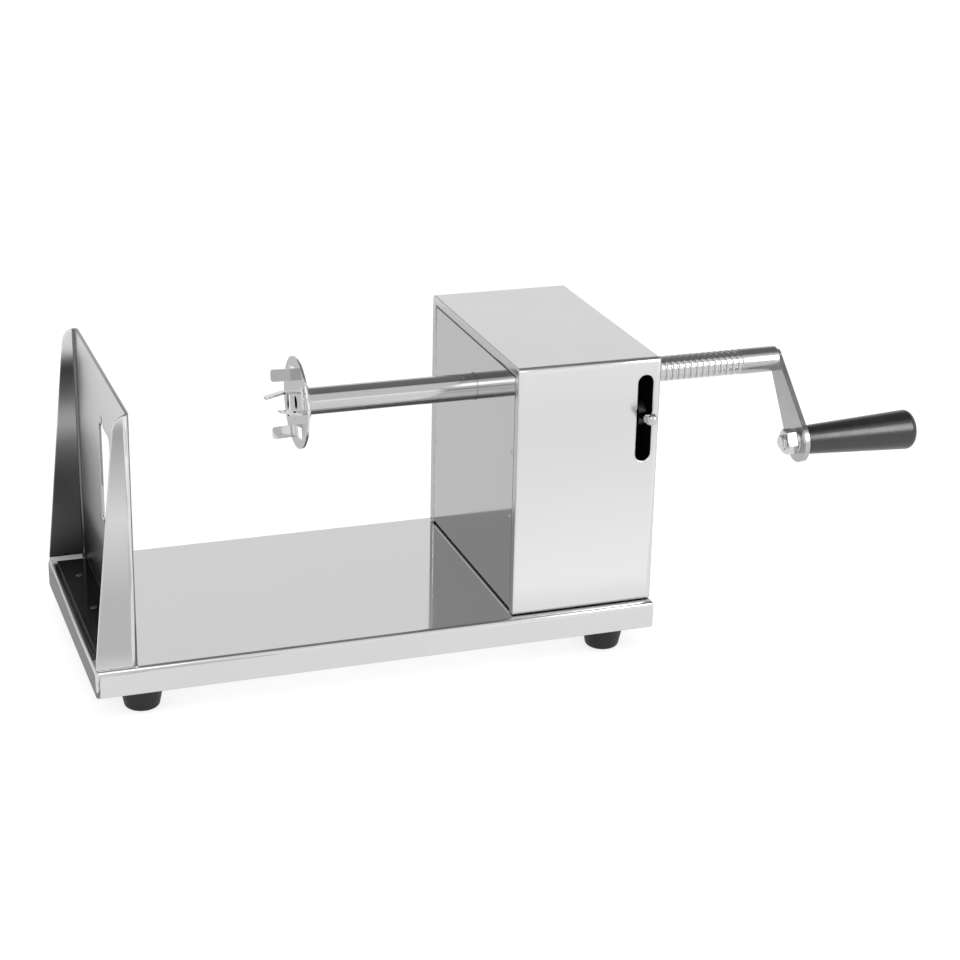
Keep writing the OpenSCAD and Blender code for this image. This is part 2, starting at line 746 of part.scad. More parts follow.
module drive_frame() {
  blank_y = side_plate_w / 2 + over;
  side_cut_x = side_plate_x + 2 * frame_bend_r;
  pivot_hole_x = inner_upright_x - frame_t - over;
  color(steel) place() difference() {
    union() {
      difference() {
        translate([0, side_plate_w / 2, 0]) rotate([90, 0, 0]) linear_extrude(side_plate_w) frame_section();
        translate([side_cut_x, frame_floor_w / 2, -over])
          cube([frame_l, blank_y - frame_floor_w / 2, 2 * frame_bend_r]);
        translate([side_cut_x, -blank_y, -over])
          cube([frame_l, blank_y - frame_floor_w / 2, side_plate_h + 2 * over]);
      }
      translate([inner_upright_x - frame_t / 2, -spring_y - shelf_w / 2, shelf_z - frame_t])
        cube([shelf_l + frame_t / 2, shelf_w, frame_t]);
    }
    x_rod(side_plate_x - over, side_plate_x + frame_t + over, 0, axis_z, frame_hole_d / 2);
    x_rod(pivot_hole_x, inner_upright_x + over, 0, axis_z, bush_d / 2);
    x_rod(pivot_hole_x, inner_upright_x + over, lever_pivot_y, lever_pivot_z, pivot_groove_d / 2);
    for (y = [-rivet_y, rivet_y], z = rivet_zs) {
      x_rod(side_plate_x - over, side_plate_x + frame_t + over, y, z, rivet_d / 2);
    }
    for (p = frame_screw_places) {
      translate([p[0], p[1], -over]) cylinder(h = frame_t + 2 * over, r = big_screw_d / 2);
    }
  }
}

module side_plate_rivets() {
  color(bright_steel) place() for (y = [-rivet_y, rivet_y], z = rivet_zs) {
    x_rod(side_plate_x, tongue_x + housing_t, y, z, rivet_d / 2);
    x_rod(side_plate_x - rivet_head_h, side_plate_x, y, z, rivet_head_r);
    x_rod(tongue_x + housing_t, tongue_x + housing_t + rivet_head_h, y, z, rivet_head_r);
  }
}

module frame_screws() {
  shank = frame_t + tray_t + big_screw_d * (nut_h_share + point_share);
  color(dark_steel) place() for (p = frame_screw_places) {
    translate([p[0], p[1], frame_t]) screw(big_screw_d, shank);
  }
}

module frame_nuts() {
  color(dark_steel) place() for (p = frame_screw_places) {
    translate([p[0], p[1], -tray_t]) rotate([180, 0, 0]) nut(big_screw_d);
  }
}

// A flanged bush for the feed tube, from its flange's face at x along +X
module bush(x) {
  color(bronze) place() difference() {
    union() {
      x_rod(x, x + bush_l, 0, axis_z, bush_d / 2);
      x_rod(x, x + bush_flange_t, 0, axis_z, bush_flange_d / 2);
    }
    x_rod(x - over, x + bush_l + over, 0, axis_z, bore_r);
  }
}

// The outer bush is fixed by its flange to the back of the side plate
module outer_bush() { bush(side_plate_x + frame_t); }

// The inner bush is pressed through the inner upright up to its flange
module inner_bush() { bush(inner_upright_x - frame_t - bush_flange_t); }

module feed_tube() {
  color(bright_steel) place() difference() {
    union() {
      x_rod(tube_x, thread_x, 0, axis_z, tube_d / 2);
      x_rod(thread_x - over, arm_x, 0, axis_z, tube_neck_d / 2);
    }
    x_rod(tube_x - over, arm_x + over, 0, axis_z, skewer_bore_d / 2);
  }
}

// The threaded sleeve is one closed surface. Each of its columns is a row of points along the screw at one
// angle: the end rings' points and, for each turn, the groove's four corners, which move on by one pitch
// share from column to column. The last column joins the first one turn further on.
first_turn = ceil((thread_x + groove_w - tooth_x) / pitch);
last_turn = floor((thread_end_x - groove_w - tooth_x) / pitch) - 1;
turns = last_turn - first_turn + 1;
column_n = 4 * turns + 4;

function groove_x(k, n) = tooth_x + pitch * (n + k / thread_columns);
function groove_points(k, n) = [
  [groove_x(k, n) - groove_w / 2, crest_d / 2],
  [groove_x(k, n) - groove_floor_w / 2, crest_d / 2 - groove_depth],
  [groove_x(k, n) + groove_floor_w / 2, crest_d / 2 - groove_depth],
  [groove_x(k, n) + groove_w / 2, crest_d / 2]
];
function column(k) = concat(
  [[thread_x, sleeve_bore_r], [thread_x, crest_d / 2]],
  [for (n = [first_turn:last_turn], p = groove_points(k, n)) p],
  [[thread_end_x, crest_d / 2], [thread_end_x, sleeve_bore_r]]
);
// Column k stands at this angle about the screw, counted from straight down, so that a groove lies at the
// half nut's tooth
function spun(p, a) = [p[0], p[1] * sin(a), axis_z - p[1] * cos(a)];
function at(k, j) = k * column_n + j;
function quad(a, b, c, d) = [[a, b, c], [a, c, d]];

module feed_screw() {
  points = [for (k = [0:thread_columns - 1], p = column(k)) spun(p, 360 * k / thread_columns)];
  last = thread_columns - 1;
  // Between neighbouring columns the points join one to one
  body = [
    for (k = [0:last - 1], j = [0:column_n - 1], f = quad(at(k, j), at(k, (j + 1) % column_n),
      at(k + 1, (j + 1) % column_n), at(k + 1, j))) f
  ];
  // Between the last and the first column the groove points join one turn further on
  turn_join = [
    for (j = [2:column_n - 8], f = quad(at(last, j), at(last, j + 1), at(0, j + 5), at(0, j + 4))) f
  ];
  rings = [
    for (j = [0, column_n - 2, column_n - 1], f = quad(at(last, j), at(last, (j + 1) % column_n),
      at(0, (j + 1) % column_n), at(0, j))) f
  ];
  run_in = concat(
    [for (j = [1:5]) [at(last, 1), at(0, j + 1), at(0, j)]],
    [[at(last, 1), at(last, 2), at(0, 6)]]
  );
  run_out = [
    for (j = [column_n - 7:column_n - 3]) [at(last, j), at(last, j + 1), at(0, column_n - 2)]
  ];
  close = [[at(last, column_n - 7), at(0, column_n - 2), at(0, column_n - 3)]];
  color(steel) place() polyhedron(points, concat(body, turn_join, rings, run_in, run_out, close));
}

// A prong in the disc's own axes: its foot stands on the bend line, and from there it leans
// towards the window it was cut from. The flat outline trims it to length and rounds its tip
module prong() {
  half = disc_t / 2;
  mitre = half * tan(prong_lean / 2);
  lean_l = prong_l - prong_foot_l;
  // The leaning part runs past the tip, and the outline cuts it there
  end = [-prong_foot_l - (lean_l + disc_t) * cos(prong_lean), (lean_l + disc_t) * sin(prong_lean)];
  side = half * [sin(prong_lean), cos(prong_lean)];
  tip_x = prong_foot_l + lean_l * cos(prong_lean);
  translate([0, -prong_bend, disc_d / 2 * prong_place_share]) intersection() {
    translate([0, 0, -prong_w / 2 - over]) linear_extrude(prong_w + 2 * over) polygon([
      [half, -half], [half, half], [mitre - prong_foot_l, half], end + side, end - side,
      [-mitre - prong_foot_l, -half]
    ]);
    translate([0, prong_l, 0]) rotate([90, 0, 0]) linear_extrude(prong_l + disc_t) {
      translate([prong_tip_r - tip_x, -prong_w / 2]) square([tip_x - prong_tip_r + half + over, prong_w]);
      translate([-tip_x, prong_tip_r - prong_w / 2]) square([2 * prong_tip_r, prong_w - 2 * prong_tip_r]);
      for (v = [-1, 1]) translate([prong_tip_r - tip_x, v * (prong_w / 2 - prong_tip_r)]) circle(prong_tip_r);
    }
  }
}

module prong_window() {
  translate([-over, disc_t - prong_bend, disc_d / 2 * prong_place_share - prong_w / 2])
    cube([disc_t + 2 * over, prong_l - disc_t, prong_w]);
}

module fork_disc() {
  color(bright_steel) place() translate([disc_x, 0, axis_z]) {
    difference() {
      x_rod(0, disc_t, 0, 0, disc_d / 2);
      x_rod(-over, disc_t + over, 0, 0, skewer_bore_d / 2);
      for (i = [0:3]) rotate([90 * i - prong_turn, 0, 0]) prong_window();
    }
    for (i = [0:3]) rotate([90 * i - prong_turn, 0, 0]) prong();
  }
}

module fork_collar() {
  x = tube_x + side_gap;
  color(steel) place() difference() {
    x_rod(x, x + collar_l, 0, axis_z, collar_d / 2);
    x_rod(x - over, x + collar_l + over, 0, axis_z, bore_r);
  }
}

// The arm hangs from the screw's axis. Its hub is a sleeve that meets the thread's end
// and takes the tube's neck
module crank_arm() {
  top_w = arm_side_share * arm_top_r;
  bottom_w = arm_side_share * arm_bottom_r;
  color(steel) place() difference() {
    union() {
      translate([arm_x, 0, axis_z]) rotate([-crank_swing, 0, 0]) rotate([0, 90, 0]) linear_extrude(arm_t) {
        circle(arm_top_r);
        translate([crank_r, 0]) circle(arm_bottom_r);
        polygon([[0, -top_w], [crank_r, -bottom_w], [crank_r, bottom_w], [0, top_w]]);
      }
      x_rod(thread_end_x, arm_x + hub_weld, 0, axis_z, hub_r);
    }
    x_rod(thread_end_x - over, arm_x, 0, axis_z, tube_neck_d / 2);
    x_rod(arm_x - over, tube_end_x + over, 0, axis_z, skewer_bore_d / 2);
    x_rod(arm_x - over, tube_end_x + over, crank_y, crank_z, handle_bolt_d / 2);
  }
}

module handle_bolt() {
  tip_x = arm_x - handle_washer_t - handle_nut_h - bolt_tip;
  head_x = grip_end_x - grip_head_pocket_l + side_gap;
  head_end_x = head_x + handle_bolt_d * head_h_share;
  color(dark_steel) place() {
    x_rod(tip_x, head_x, crank_y, crank_z, handle_bolt_d / 2);
    x_rod(head_x, head_end_x, crank_y, crank_z, handle_bolt_d * bolt_head_d_share / 2);
  }
}

module handle_washer() {
  color(steel) place() difference() {
    x_rod(arm_x - handle_washer_t, arm_x, crank_y, crank_z, handle_bolt_d * washer_d_share / 2);
    x_rod(arm_x - handle_washer_t - over, arm_x + over, crank_y, crank_z, handle_bolt_d / 2);
  }
}

module handle_nut() {
  x = arm_x - handle_washer_t - handle_nut_h;
  color(steel) place() difference() {
    translate([x, crank_y, crank_z]) rotate([0, 90, 0])
      cylinder(h = handle_nut_h, r = handle_bolt_d * nut_af_share / 2 / cos(30), $fn = 6);
    x_rod(x - over, x + handle_nut_h + over, crank_y, crank_z, handle_bolt_d / 2);
  }
}

// The grip's half section: radius against length, both ends rounded
module grip_section() {
  polygon([
    [0, 0], [grip_neck_d / 2 - grip_neck_r, 0], [grip_neck_d / 2 - grip_neck_r, grip_neck_r],
    [grip_neck_d / 2, grip_neck_r], [grip_end_d / 2, grip_l - grip_edge_r],
    [grip_end_d / 2 - grip_edge_r, grip_l - grip_edge_r], [grip_end_d / 2 - grip_edge_r, grip_l], [0, grip_l]
  ]);
  intersection() {
    translate([grip_neck_d / 2 - grip_neck_r, grip_neck_r]) circle(grip_neck_r);
    square([grip_neck_d / 2, grip_neck_r]);
  }
  intersection() {
    translate([grip_end_d / 2 - grip_edge_r, grip_l - grip_edge_r]) circle(grip_edge_r);
    translate([0, grip_l - grip_edge_r]) square([grip_end_d / 2, grip_edge_r]);
  }
}

module handle_grip() {
  color(black_plastic) place() difference() {
    translate([grip_x, crank_y, crank_z]) rotate([0, 90, 0]) rotate_extrude() grip_section();
    x_rod(grip_x - over, grip_end_x + over, crank_y, crank_z, grip_bore_d / 2);
    x_rod(grip_end_x - grip_head_pocket_l, grip_end_x + over, crank_y, crank_z, grip_head_pocket_d / 2);
  }
}

// Moves a piece drawn along +X from the lever's pivot onto the lever's rising line
module on_lever() {
  translate([slot_x, lever_pivot_y, lever_pivot_z]) rotate([-lever_rise, 0, 0]) rotate([0, 0, -90]) children();
}

module release_lever() {
  color(steel) place() difference() {
    union() {
      on_lever() rotate([90, 0, 0]) translate([0, 0, -lever_t / 2]) linear_extrude(lever_t) {
        circle(lever_w / 2);
        translate([lever_l, 0]) circle(lever_w / 2);
        translate([0, -lever_w / 2]) square([lever_l, lever_w]);
      }
      translate([slot_x - spring_seat_w / 2, -spring_y - spring_seat_w / 2, spring_pad_z])
        cube([spring_seat_w, spring_seat_w, lever_w / 2]);
    }
    x_rod(slot_x - lever_t, slot_x + lever_t, 0, axis_z, lever_notch_r);
    x_rod(slot_x - lever_t, slot_x + lever_t, lever_pivot_y, lever_pivot_z, pivot_d / 2 + running_gap);
    for (y = [-half_nut_screw_y, half_nut_screw_y]) {
      x_rod(slot_x - lever_t, slot_x + lever_t, y, half_nut_screw_z, tiny_screw_d / 2);
    }
    on_lever() translate([lever_l - lever_w / 2, 0, 0]) rotate([0, 90, 0])
      cylinder(h = 2 * lever_w, r = knob_pin_d / 4);
  }
}

module lever_knob() {
  pin_s = lever_l + lever_w / 2;
  knob_s = knob_end_s - knob_l + knob_d / 2;
  color(bright_steel) place() on_lever() {
    rotate([0, 90, 0]) {
      translate([0, 0, lever_l - lever_w / 2]) cylinder(h = lever_w, r = knob_pin_d / 4);
      translate([0, 0, pin_s]) cylinder(h = knob_end_s - knob_l / 2 - pin_s, r = knob_pin_d / 2);
      translate([0, 0, knob_s]) cylinder(h = knob_l - knob_d, r = knob_d / 2);
    }
    for (s = [knob_s, knob_end_s - knob_d / 2]) translate([s, 0, 0]) sphere(knob_d / 2);
  }
}

module half_nut() {
  x = slot_x + lever_t / 2;
  color(bronze) place() {
    difference() {
      translate([x, -half_nut_w / 2, half_nut_bottom])
        cube([half_nut_l, half_nut_w, half_nut_top - half_nut_bottom]);
      x_rod(x - over, x + half_nut_l + over, 0, axis_z, saddle_r);
      for (y = [-half_nut_screw_y, half_nut_screw_y]) {
        x_rod(x - over, x + half_nut_l + over, y, half_nut_screw_z, tiny_screw_d / 2);
      }
    }
    translate([tooth_x, 0, axis_z - saddle_r - tooth_root]) rotate([0, 0, lead])
      translate([-tooth_t / 2, -tooth_l / 2, 0])
        cube([tooth_t, tooth_l, tooth_root + saddle_gap + tooth_depth]);
  }
}

module half_nut_screws() {
  color(dark_steel) place() for (y = [-half_nut_screw_y, half_nut_screw_y]) {
    translate([slot_x - lever_t / 2, y, half_nut_screw_z]) rotate([0, -90, 0])
      screw(tiny_screw_d, lever_t + half_nut_l);
  }
}

module lever_pivot() {
  shoulder_x = slot_x - lever_t / 2 - side_gap;
  journal_x = slot_x + lever_t / 2 + side_gap;
  tip_x = journal_x + pivot_clip_t;
  color(dark_steel) place() {
    x_rod(inner_upright_x - 2 * frame_t, inner_upright_x, lever_pivot_y, lever_pivot_z, pivot_groove_d / 2);
    x_rod(inner_upright_x, shoulder_x, lever_pivot_y, lever_pivot_z, pivot_shoulder_d / 2);
    x_rod(shoulder_x, journal_x, lever_pivot_y, lever_pivot_z, pivot_d / 2);
    x_rod(journal_x, tip_x, lever_pivot_y, lever_pivot_z, pivot_groove_d / 2);
    x_rod(tip_x, tip_x + pivot_tip, lever_pivot_y, lever_pivot_z, pivot_d / 2);
  }
}

module lever_pivot_clip() {
  x = slot_x + lever_t / 2 + side_gap;
  color(steel) place() difference() {
    x_rod(x, x + pivot_clip_t, lever_pivot_y, lever_pivot_z, pivot_shoulder_d / 2);
    x_rod(x - over, x + pivot_clip_t + over, lever_pivot_y, lever_pivot_z, pivot_groove_d / 2);
    translate([x - over, lever_pivot_y, lever_pivot_z - pivot_groove_d / 3])
      cube([pivot_clip_t + 2 * over, pivot_shoulder_d, 2 / 3 * pivot_groove_d]);
  }
}

// The spring's wire: it leaves its lower seat on the spring's axis, spirals out, climbs the curls, spirals in
// and meets the lever's pad on the axis
spring_low = shelf_z;
spring_high = spring_pad_z;
coil_r = (spring_d - wire_d) / 2;
rings_per_curl = 8;
wire_sides = 6;
lead_share = 1.2;
lead_l = lead_share * wire_d;
spiral_curls = 1;
spiral_rise_share = 1.6;
spiral_rise = spiral_rise_share * wire_d;
climb = spring_high - spring_low - 2 * lead_l - 2 * spiral_rise;
coil_rings = rings_per_curl * (spring_curls + 2 * spiral_curls);

function ease(t) = t * t * (3 - 2 * t);
function coil_turn(i) = i / rings_per_curl;
all_curls = spring_curls + 2 * spiral_curls;
function coil_radius(c) = coil_r * ease(min(1, c / spiral_curls, (all_curls - c) / spiral_curls));
function coil_height(c) = c < spiral_curls ? spiral_rise * c / spiral_curls
  : c > spring_curls + spiral_curls ? climb + 2 * spiral_rise - spiral_rise * (all_curls - c) / spiral_curls
  : spiral_rise + climb * (c - spiral_curls) / spring_curls;
function coil_point(c) = [
  slot_x + coil_radius(c) * cos(360 * c),
  -spring_y + coil_radius(c) * sin(360 * c),
  spring_low + lead_l + coil_height(c)
];
wire_path = concat(
  [[slot_x, -spring_y, spring_low]],
  [for (i = [0:coil_rings]) coil_point(coil_turn(i))],
  [[slot_x, -spring_y, spring_high]]
);
path_n = len(wire_path);

function unit(v) = v / norm(v);
function direction(i) = i == 0 || i == path_n - 1 ? [0, 0, 1] : unit(wire_path[i + 1] - wire_path[i - 1]);
// Each ring of points lies square to the wire and starts on the side away from the spring's axis
function outward(i) = [cos(360 * coil_turn(i - 1)), sin(360 * coil_turn(i - 1)), 0];
function ring(i) =
  let (t = direction(i), u = unit(outward(i) - t * (outward(i) * t)), v = cross(t, u))
    [for (a = [0:360 / wire_sides:359]) wire_path[i] + wire_d / 2 * (u * cos(a) + v * sin(a))];

module lever_spring() {
  points = [for (i = [0:path_n - 1], p = ring(i)) p];
  walls = [
    for (i = [0:path_n - 2], s = [0:wire_sides - 1])
      let (a = i * wire_sides + s, b = i * wire_sides + (s + 1) % wire_sides)
        each [[a, a + wire_sides, b], [b, a + wire_sides, b + wire_sides]]
  ];
  top = (path_n - 1) * wire_sides;
  ends = [
    for (s = [1:wire_sides - 2]) each [[0, s, s + 1], [top, top + s + 1, top + s]]
  ];
  color(dark_steel) place() polyhedron(points, concat(walls, ends));
}

// Least gap of the spring's wire to itself, measured on the path points more than half a curl apart
self_gap = min([
  for (i = [0:path_n - 1], j = [i + rings_per_curl / 2:1:path_n - 1]) norm(wire_path[i] - wire_path[j]) - wire_d
]);
echo(spring_self_gap = self_gap);

base_tray();
foot_near_blade();
foot_far_blade();
foot_near_crank();
foot_far_crank();
foot_screws();
foot_nuts();
blade_plate();
blade();
blade_screws();
plate_screws();
housing_cover();
housing_screws();
drive_frame();
side_plate_rivets();
frame_screws();
frame_nuts();
outer_bush();
inner_bush();
feed_tube();
feed_screw();
fork_disc();
fork_collar();
crank_arm();
handle_bolt();
handle_nut();
handle_washer();
handle_grip();
release_lever();
lever_knob();
half_nut();
half_nut_screws();
lever_pivot();
lever_pivot_clip();
lever_spring();
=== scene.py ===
"""Looks of the tornado potato cutter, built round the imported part.

Lengths in the tables are millimetres in tool coordinates: X from the tray's blade end to the
crank, Y = 0 in the middle of the tray with the lever knob at negative Y, Z = 0 on the tray.
at() turns them into metres in the part's frame. Lamps and cards off the floor are in metres.
"""
import math

import bmesh
import bpy
from mathutils import Matrix, Vector

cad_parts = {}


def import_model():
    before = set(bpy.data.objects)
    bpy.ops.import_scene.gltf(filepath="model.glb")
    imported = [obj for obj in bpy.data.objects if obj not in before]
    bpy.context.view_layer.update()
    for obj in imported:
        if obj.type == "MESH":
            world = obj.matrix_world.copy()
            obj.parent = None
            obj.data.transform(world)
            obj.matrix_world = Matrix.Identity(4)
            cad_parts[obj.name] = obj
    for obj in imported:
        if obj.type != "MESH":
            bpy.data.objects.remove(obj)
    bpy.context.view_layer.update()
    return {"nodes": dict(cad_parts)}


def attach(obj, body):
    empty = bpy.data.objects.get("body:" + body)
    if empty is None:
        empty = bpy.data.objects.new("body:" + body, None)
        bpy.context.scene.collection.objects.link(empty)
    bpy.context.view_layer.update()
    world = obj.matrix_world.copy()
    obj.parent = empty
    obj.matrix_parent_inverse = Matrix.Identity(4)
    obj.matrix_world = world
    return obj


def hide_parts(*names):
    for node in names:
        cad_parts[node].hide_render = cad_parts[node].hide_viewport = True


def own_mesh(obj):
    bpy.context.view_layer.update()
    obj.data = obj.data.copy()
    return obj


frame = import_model()
nodes = frame["nodes"]

MM = 0.001
MID_X, MID_Y, STAND = 243, -3.86497, 27.8  # the frame's origin lies STAND below the tray

# Camera, fitted to points of the photo
CAMERA_PLACE = (-162.1, -1107.8, 505.9)
CAMERA_ANGLES = (-19.64, 21.11, 1.25)  # azimuth, elevation and roll in degrees
FOCAL_PX, PHOTO_PX, SENSOR_WIDTH = 2234, 960, 36
CLIP_NEAR, CLIP_FAR = 0.05, 60

# Levels of the white studio: as a light, as mirrored by the steel and as seen by the camera
WORLD_LIGHT, WORLD_MIRRORED, WORLD_SEEN = 0.7, 0.92, 1.02
FLOOR_LIGHT, FLOOR_MIRRORED, FLOOR_SEEN = 0.8, 0.66, 0.74
FLOOR_SHADED = 0.4  # the part of the floor's level that a shadow can take away
FLOOR_RADIUS = 14

# Patterns of the surfaces: sizes of the noise in 1/m, heights of the bumps in m
CLOUD_SCALE, SMEAR_SCALE, HAIR_SCALE, WAVE_SCALE = 7, 26, 900, 9
HAIR_HEIGHT, WAVE_HEIGHT = 0.00004, 0.0012
BLACK_TINT_SCALE, BLACK_ROUGH_SCALE, BLACK_GRAIN_SCALE = 60, 120, 1400
BLACK_GRAIN_STRENGTH, BLACK_GRAIN_HEIGHT = 0.12, 0.00005

# Sizes that more than one piece shares
AXIS_Z = 108.2  # height of the screw's axis
HALF_NUT_X = 300.3
SIDE_PLATE_H = 135.1
FEET = [(x, y) for x in (25.6, 284.4) for y in (-64.25, 64.25)]
FRAME_HOLES = [(x, y) for x in (243.15, 273.05) for y in (-40, 40)]
NUT_WIDTH = 1.63  # across the flats, as a share of the thread
SCREW_HEAD_D, SCREW_HEAD_H = 1.8, 0.6  # as shares of the thread
FINE_STEPS = 72
SAME_POINT = 0.000004  # m


def at(x, y, z):
    """A point in tool coordinates (mm) as a point in the part's frame (m)."""
    return Vector(((x - MID_X) * MM, (y - MID_Y) * MM, (z + STAND) * MM))


def placed(name, data):
    """A new object in the scene."""
    obj = bpy.data.objects.new(name, data)
    bpy.context.scene.collection.objects.link(obj)
    return obj


# Shader nodes ---------------------------------------------------------------------------------
def new_material(name):
    m = bpy.data.materials.new(name)
    m.use_nodes = True
    n, links = m.node_tree.nodes, m.node_tree.links
    n.clear()
    out = n.new("ShaderNodeOutputMaterial")
    return m, n, links, out.inputs["Surface"]


def calc(n, links, operation, a, b):
    """A maths node. a is an output, b a number or an output."""
    node = n.new("ShaderNodeMath")
    node.operation = operation
    links.new(a, node.inputs[0])
    if isinstance(b, (int, float)):
        node.inputs[1].default_value = b
    else:
        links.new(b, node.inputs[1])
    return node.outputs[0]


def spread(n, links, value, low, high, start=0.0, end=1.0):
    """Maps a value that runs from start to end to a level from low to high."""
    node = n.new("ShaderNodeMapRange")
    node.inputs["From Min"].default_value, node.inputs["From Max"].default_value = start, end
    node.inputs["To Min"].default_value, node.inputs["To Max"].default_value = low, high
    links.new(value, node.inputs["Value"])
    return node.outputs[0]


def axes(n, links, coords):
    """The X, Y and Z outputs of the piece's own coordinates."""
    parts = n.new("ShaderNodeSeparateXYZ")
    links.new(coords.outputs["Object"], parts.inputs[0])
    return parts.outputs


def level_by_ray(n, links, mirrored, seen):
    """The level mirrored, or seen where the ray comes from the camera."""
    path = n.new("ShaderNodeLightPath")
    return spread(n, links, path.outputs["Is Camera Ray"], mirrored, seen)


def shader_by_ray(n, links, light, seen, surface):
    """Camera, glossy and transmission rays meet the shader seen, all others meet light."""
    path = n.new("ShaderNodeLightPath")
    near = calc(n, links, "MAXIMUM", path.outputs["Is Camera Ray"], path.outputs["Is Glossy Ray"])
    mix = n.new("ShaderNodeMixShader")
    links.new(calc(n, links, "MAXIMUM", near, path.outputs["Is Transmission Ray"]), mix.inputs[0])
    links.new(light.outputs[0], mix.inputs[1])
    links.new(seen.outputs[0], mix.inputs[2])
    links.new(mix.outputs[0], surface)


# Camera, floor and light ----------------------------------------------------------------------
def camera():
    azimuth, elevation, roll = (math.radians(angle) for angle in CAMERA_ANGLES)
    forward = Vector((-math.sin(azimuth) * math.cos(elevation),
                      math.cos(azimuth) * math.cos(elevation), -math.sin(elevation)))
    right = Vector((math.cos(azimuth), math.sin(azimuth), 0))
    up = right.cross(forward)
    x = right * math.cos(roll) + up * math.sin(roll)
    y = up * math.cos(roll) - right * math.sin(roll)
    data = bpy.data.cameras.new("camera")
    data.sensor_width = SENSOR_WIDTH
    data.lens = FOCAL_PX / PHOTO_PX * SENSOR_WIDTH
    data.clip_start, data.clip_end = CLIP_NEAR, CLIP_FAR
    cam = placed("camera", data)
    m = Matrix((x, y, -forward)).transposed().to_4x4()
    m.translation = at(*CAMERA_PLACE)
    cam.matrix_world = m
    bpy.context.scene.camera = cam


def world():
    w = bpy.data.worlds.new("studio")
    bpy.context.scene.world = w
    w.use_nodes = True
    n, links = w.node_tree.nodes, w.node_tree.links
    n.clear()
    out = n.new("ShaderNodeOutputWorld")
    light, seen = n.new("ShaderNodeBackground"), n.new("ShaderNodeBackground")
    for shader in (light, seen):
        shader.inputs["Color"].default_value = (1, 1, 1, 1)
    light.inputs["Strength"].default_value = WORLD_LIGHT
    links.new(level_by_ray(n, links, WORLD_MIRRORED, WORLD_SEEN), seen.inputs["Strength"])
    shader_by_ray(n, links, light, seen, out.inputs["Surface"])


def floor():
    mesh = bpy.data.meshes.new("floor")
    bm = bmesh.new()
    bmesh.ops.create_circle(bm, cap_ends=True, radius=FLOOR_RADIUS, segments=64)
    bm.to_mesh(mesh)
    bm.free()
    m, n, links, surface = new_material("floor")
    light, shaded = n.new("ShaderNodeBsdfDiffuse"), n.new("ShaderNodeBsdfDiffuse")
    light.inputs["Color"].default_value = (FLOOR_LIGHT, FLOOR_LIGHT, FLOOR_LIGHT, 1)
    shaded.inputs["Color"].default_value = (FLOOR_SHADED, FLOOR_SHADED, FLOOR_SHADED, 1)
    glow = n.new("ShaderNodeEmission")
    links.new(level_by_ray(n, links, FLOOR_MIRRORED, FLOOR_SEEN), glow.inputs["Strength"])
    seen = n.new("ShaderNodeAddShader")
    links.new(shaded.outputs[0], seen.inputs[0])
    links.new(glow.outputs[0], seen.inputs[1])
    shader_by_ray(n, links, light, seen, surface)
    mesh.materials.append(m)
    placed("floor", mesh)


def lamp(name, size_x, size_y, power, place, target):
    """An area lamp that the steel doesn't mirror."""
    data = bpy.data.lights.new(name, "AREA")
    data.shape = "RECTANGLE"
    data.size, data.size_y = size_x, size_y
    data.energy = power
    obj = placed(name, data)
    obj.location = place
    obj.rotation_euler = (Vector(target) - Vector(place)).to_track_quat("-Z", "Y").to_euler()
    obj.visible_glossy = False


def card(name, corners, low, high, span=(0.0, 1.0)):
    """A studio card that only mirror reflections show. Its level runs from low to high over a
    span of Y."""
    mesh = bpy.data.meshes.new(name)
    mesh.from_pydata([Vector(c) for c in corners], [], [(0, 1, 2, 3)])
    m, n, links, surface = new_material(name)
    coords = n.new("ShaderNodeTexCoord")
    glow = n.new("ShaderNodeEmission")
    links.new(spread(n, links, axes(n, links, coords)["Y"], low, high, *span),
              glow.inputs["Strength"])
    links.new(glow.outputs[0], surface)
    mesh.materials.append(m)
    obj = placed(name, mesh)
    obj.visible_camera = False
    obj.visible_diffuse = False
    obj.visible_shadow = False
    obj.visible_transmission = False
    obj.visible_volume_scatter = False


def level_card(name, x0, x1, y0, y1, z, low, high):
    """A level card whose level runs from low at y0 to high at y1."""
    card(name, [(x0, y0, z), (x1, y0, z), (x1, y1, z), (x0, y1, z)], low, high, (y0, y1))


def floor_card(name, x0, x1, y0, y1, low, high, lift=0.2):
    """A level card just above the floor, in tool coordinates."""
    a, b = at(x0, y0, lift - STAND), at(x1, y1, lift - STAND)
    level_card(name, a.x, b.x, a.y, b.y, a.z, low, high)


def upright_card(name, x0, x1, y, z0, z1, level):
    card(name, [(x0, y, z0), (x1, y, z0), (x1, y, z1), (x0, y, z1)], level, level)


# Materials ------------------------------------------------------------------------------------
def principled(name):
    m, n, links, surface = new_material(name)
    bsdf = n.new("ShaderNodeBsdfPrincipled")
    links.new(bsdf.outputs[0], surface)
    coords = n.new("ShaderNodeTexCoord")
    return m, n, links, bsdf, coords


def noise(n, links, coords, scale, detail, stretch=(1, 1, 1), rough=0.5):
    mapping = n.new("ShaderNodeMapping")
    mapping.inputs["Scale"].default_value = stretch
    links.new(coords.outputs["Object"], mapping.inputs["Vector"])
    tex = n.new("ShaderNodeTexNoise")
    tex.inputs["Scale"].default_value = scale
    tex.inputs["Detail"].default_value = detail
    tex.inputs["Roughness"].default_value = rough
    links.new(mapping.outputs[0], tex.inputs["Vector"])
    return tex.outputs["Fac"]


def rgba(tint):
    """A colour, or the grey of a number, with its alpha."""
    return (*tint, 1) if isinstance(tint, tuple) else (tint, tint, tint, 1)


def ramp(n, links, value, low, high):
    """Maps a noise value to a range of numbers or colours."""
    r = n.new("ShaderNodeValToRGB")
    first, last = r.color_ramp.elements
    first.position, last.position = 0.3, 0.7
    first.color, last.color = rgba(low), rgba(high)
    links.new(value, r.inputs[0])
    return r.outputs["Color"]


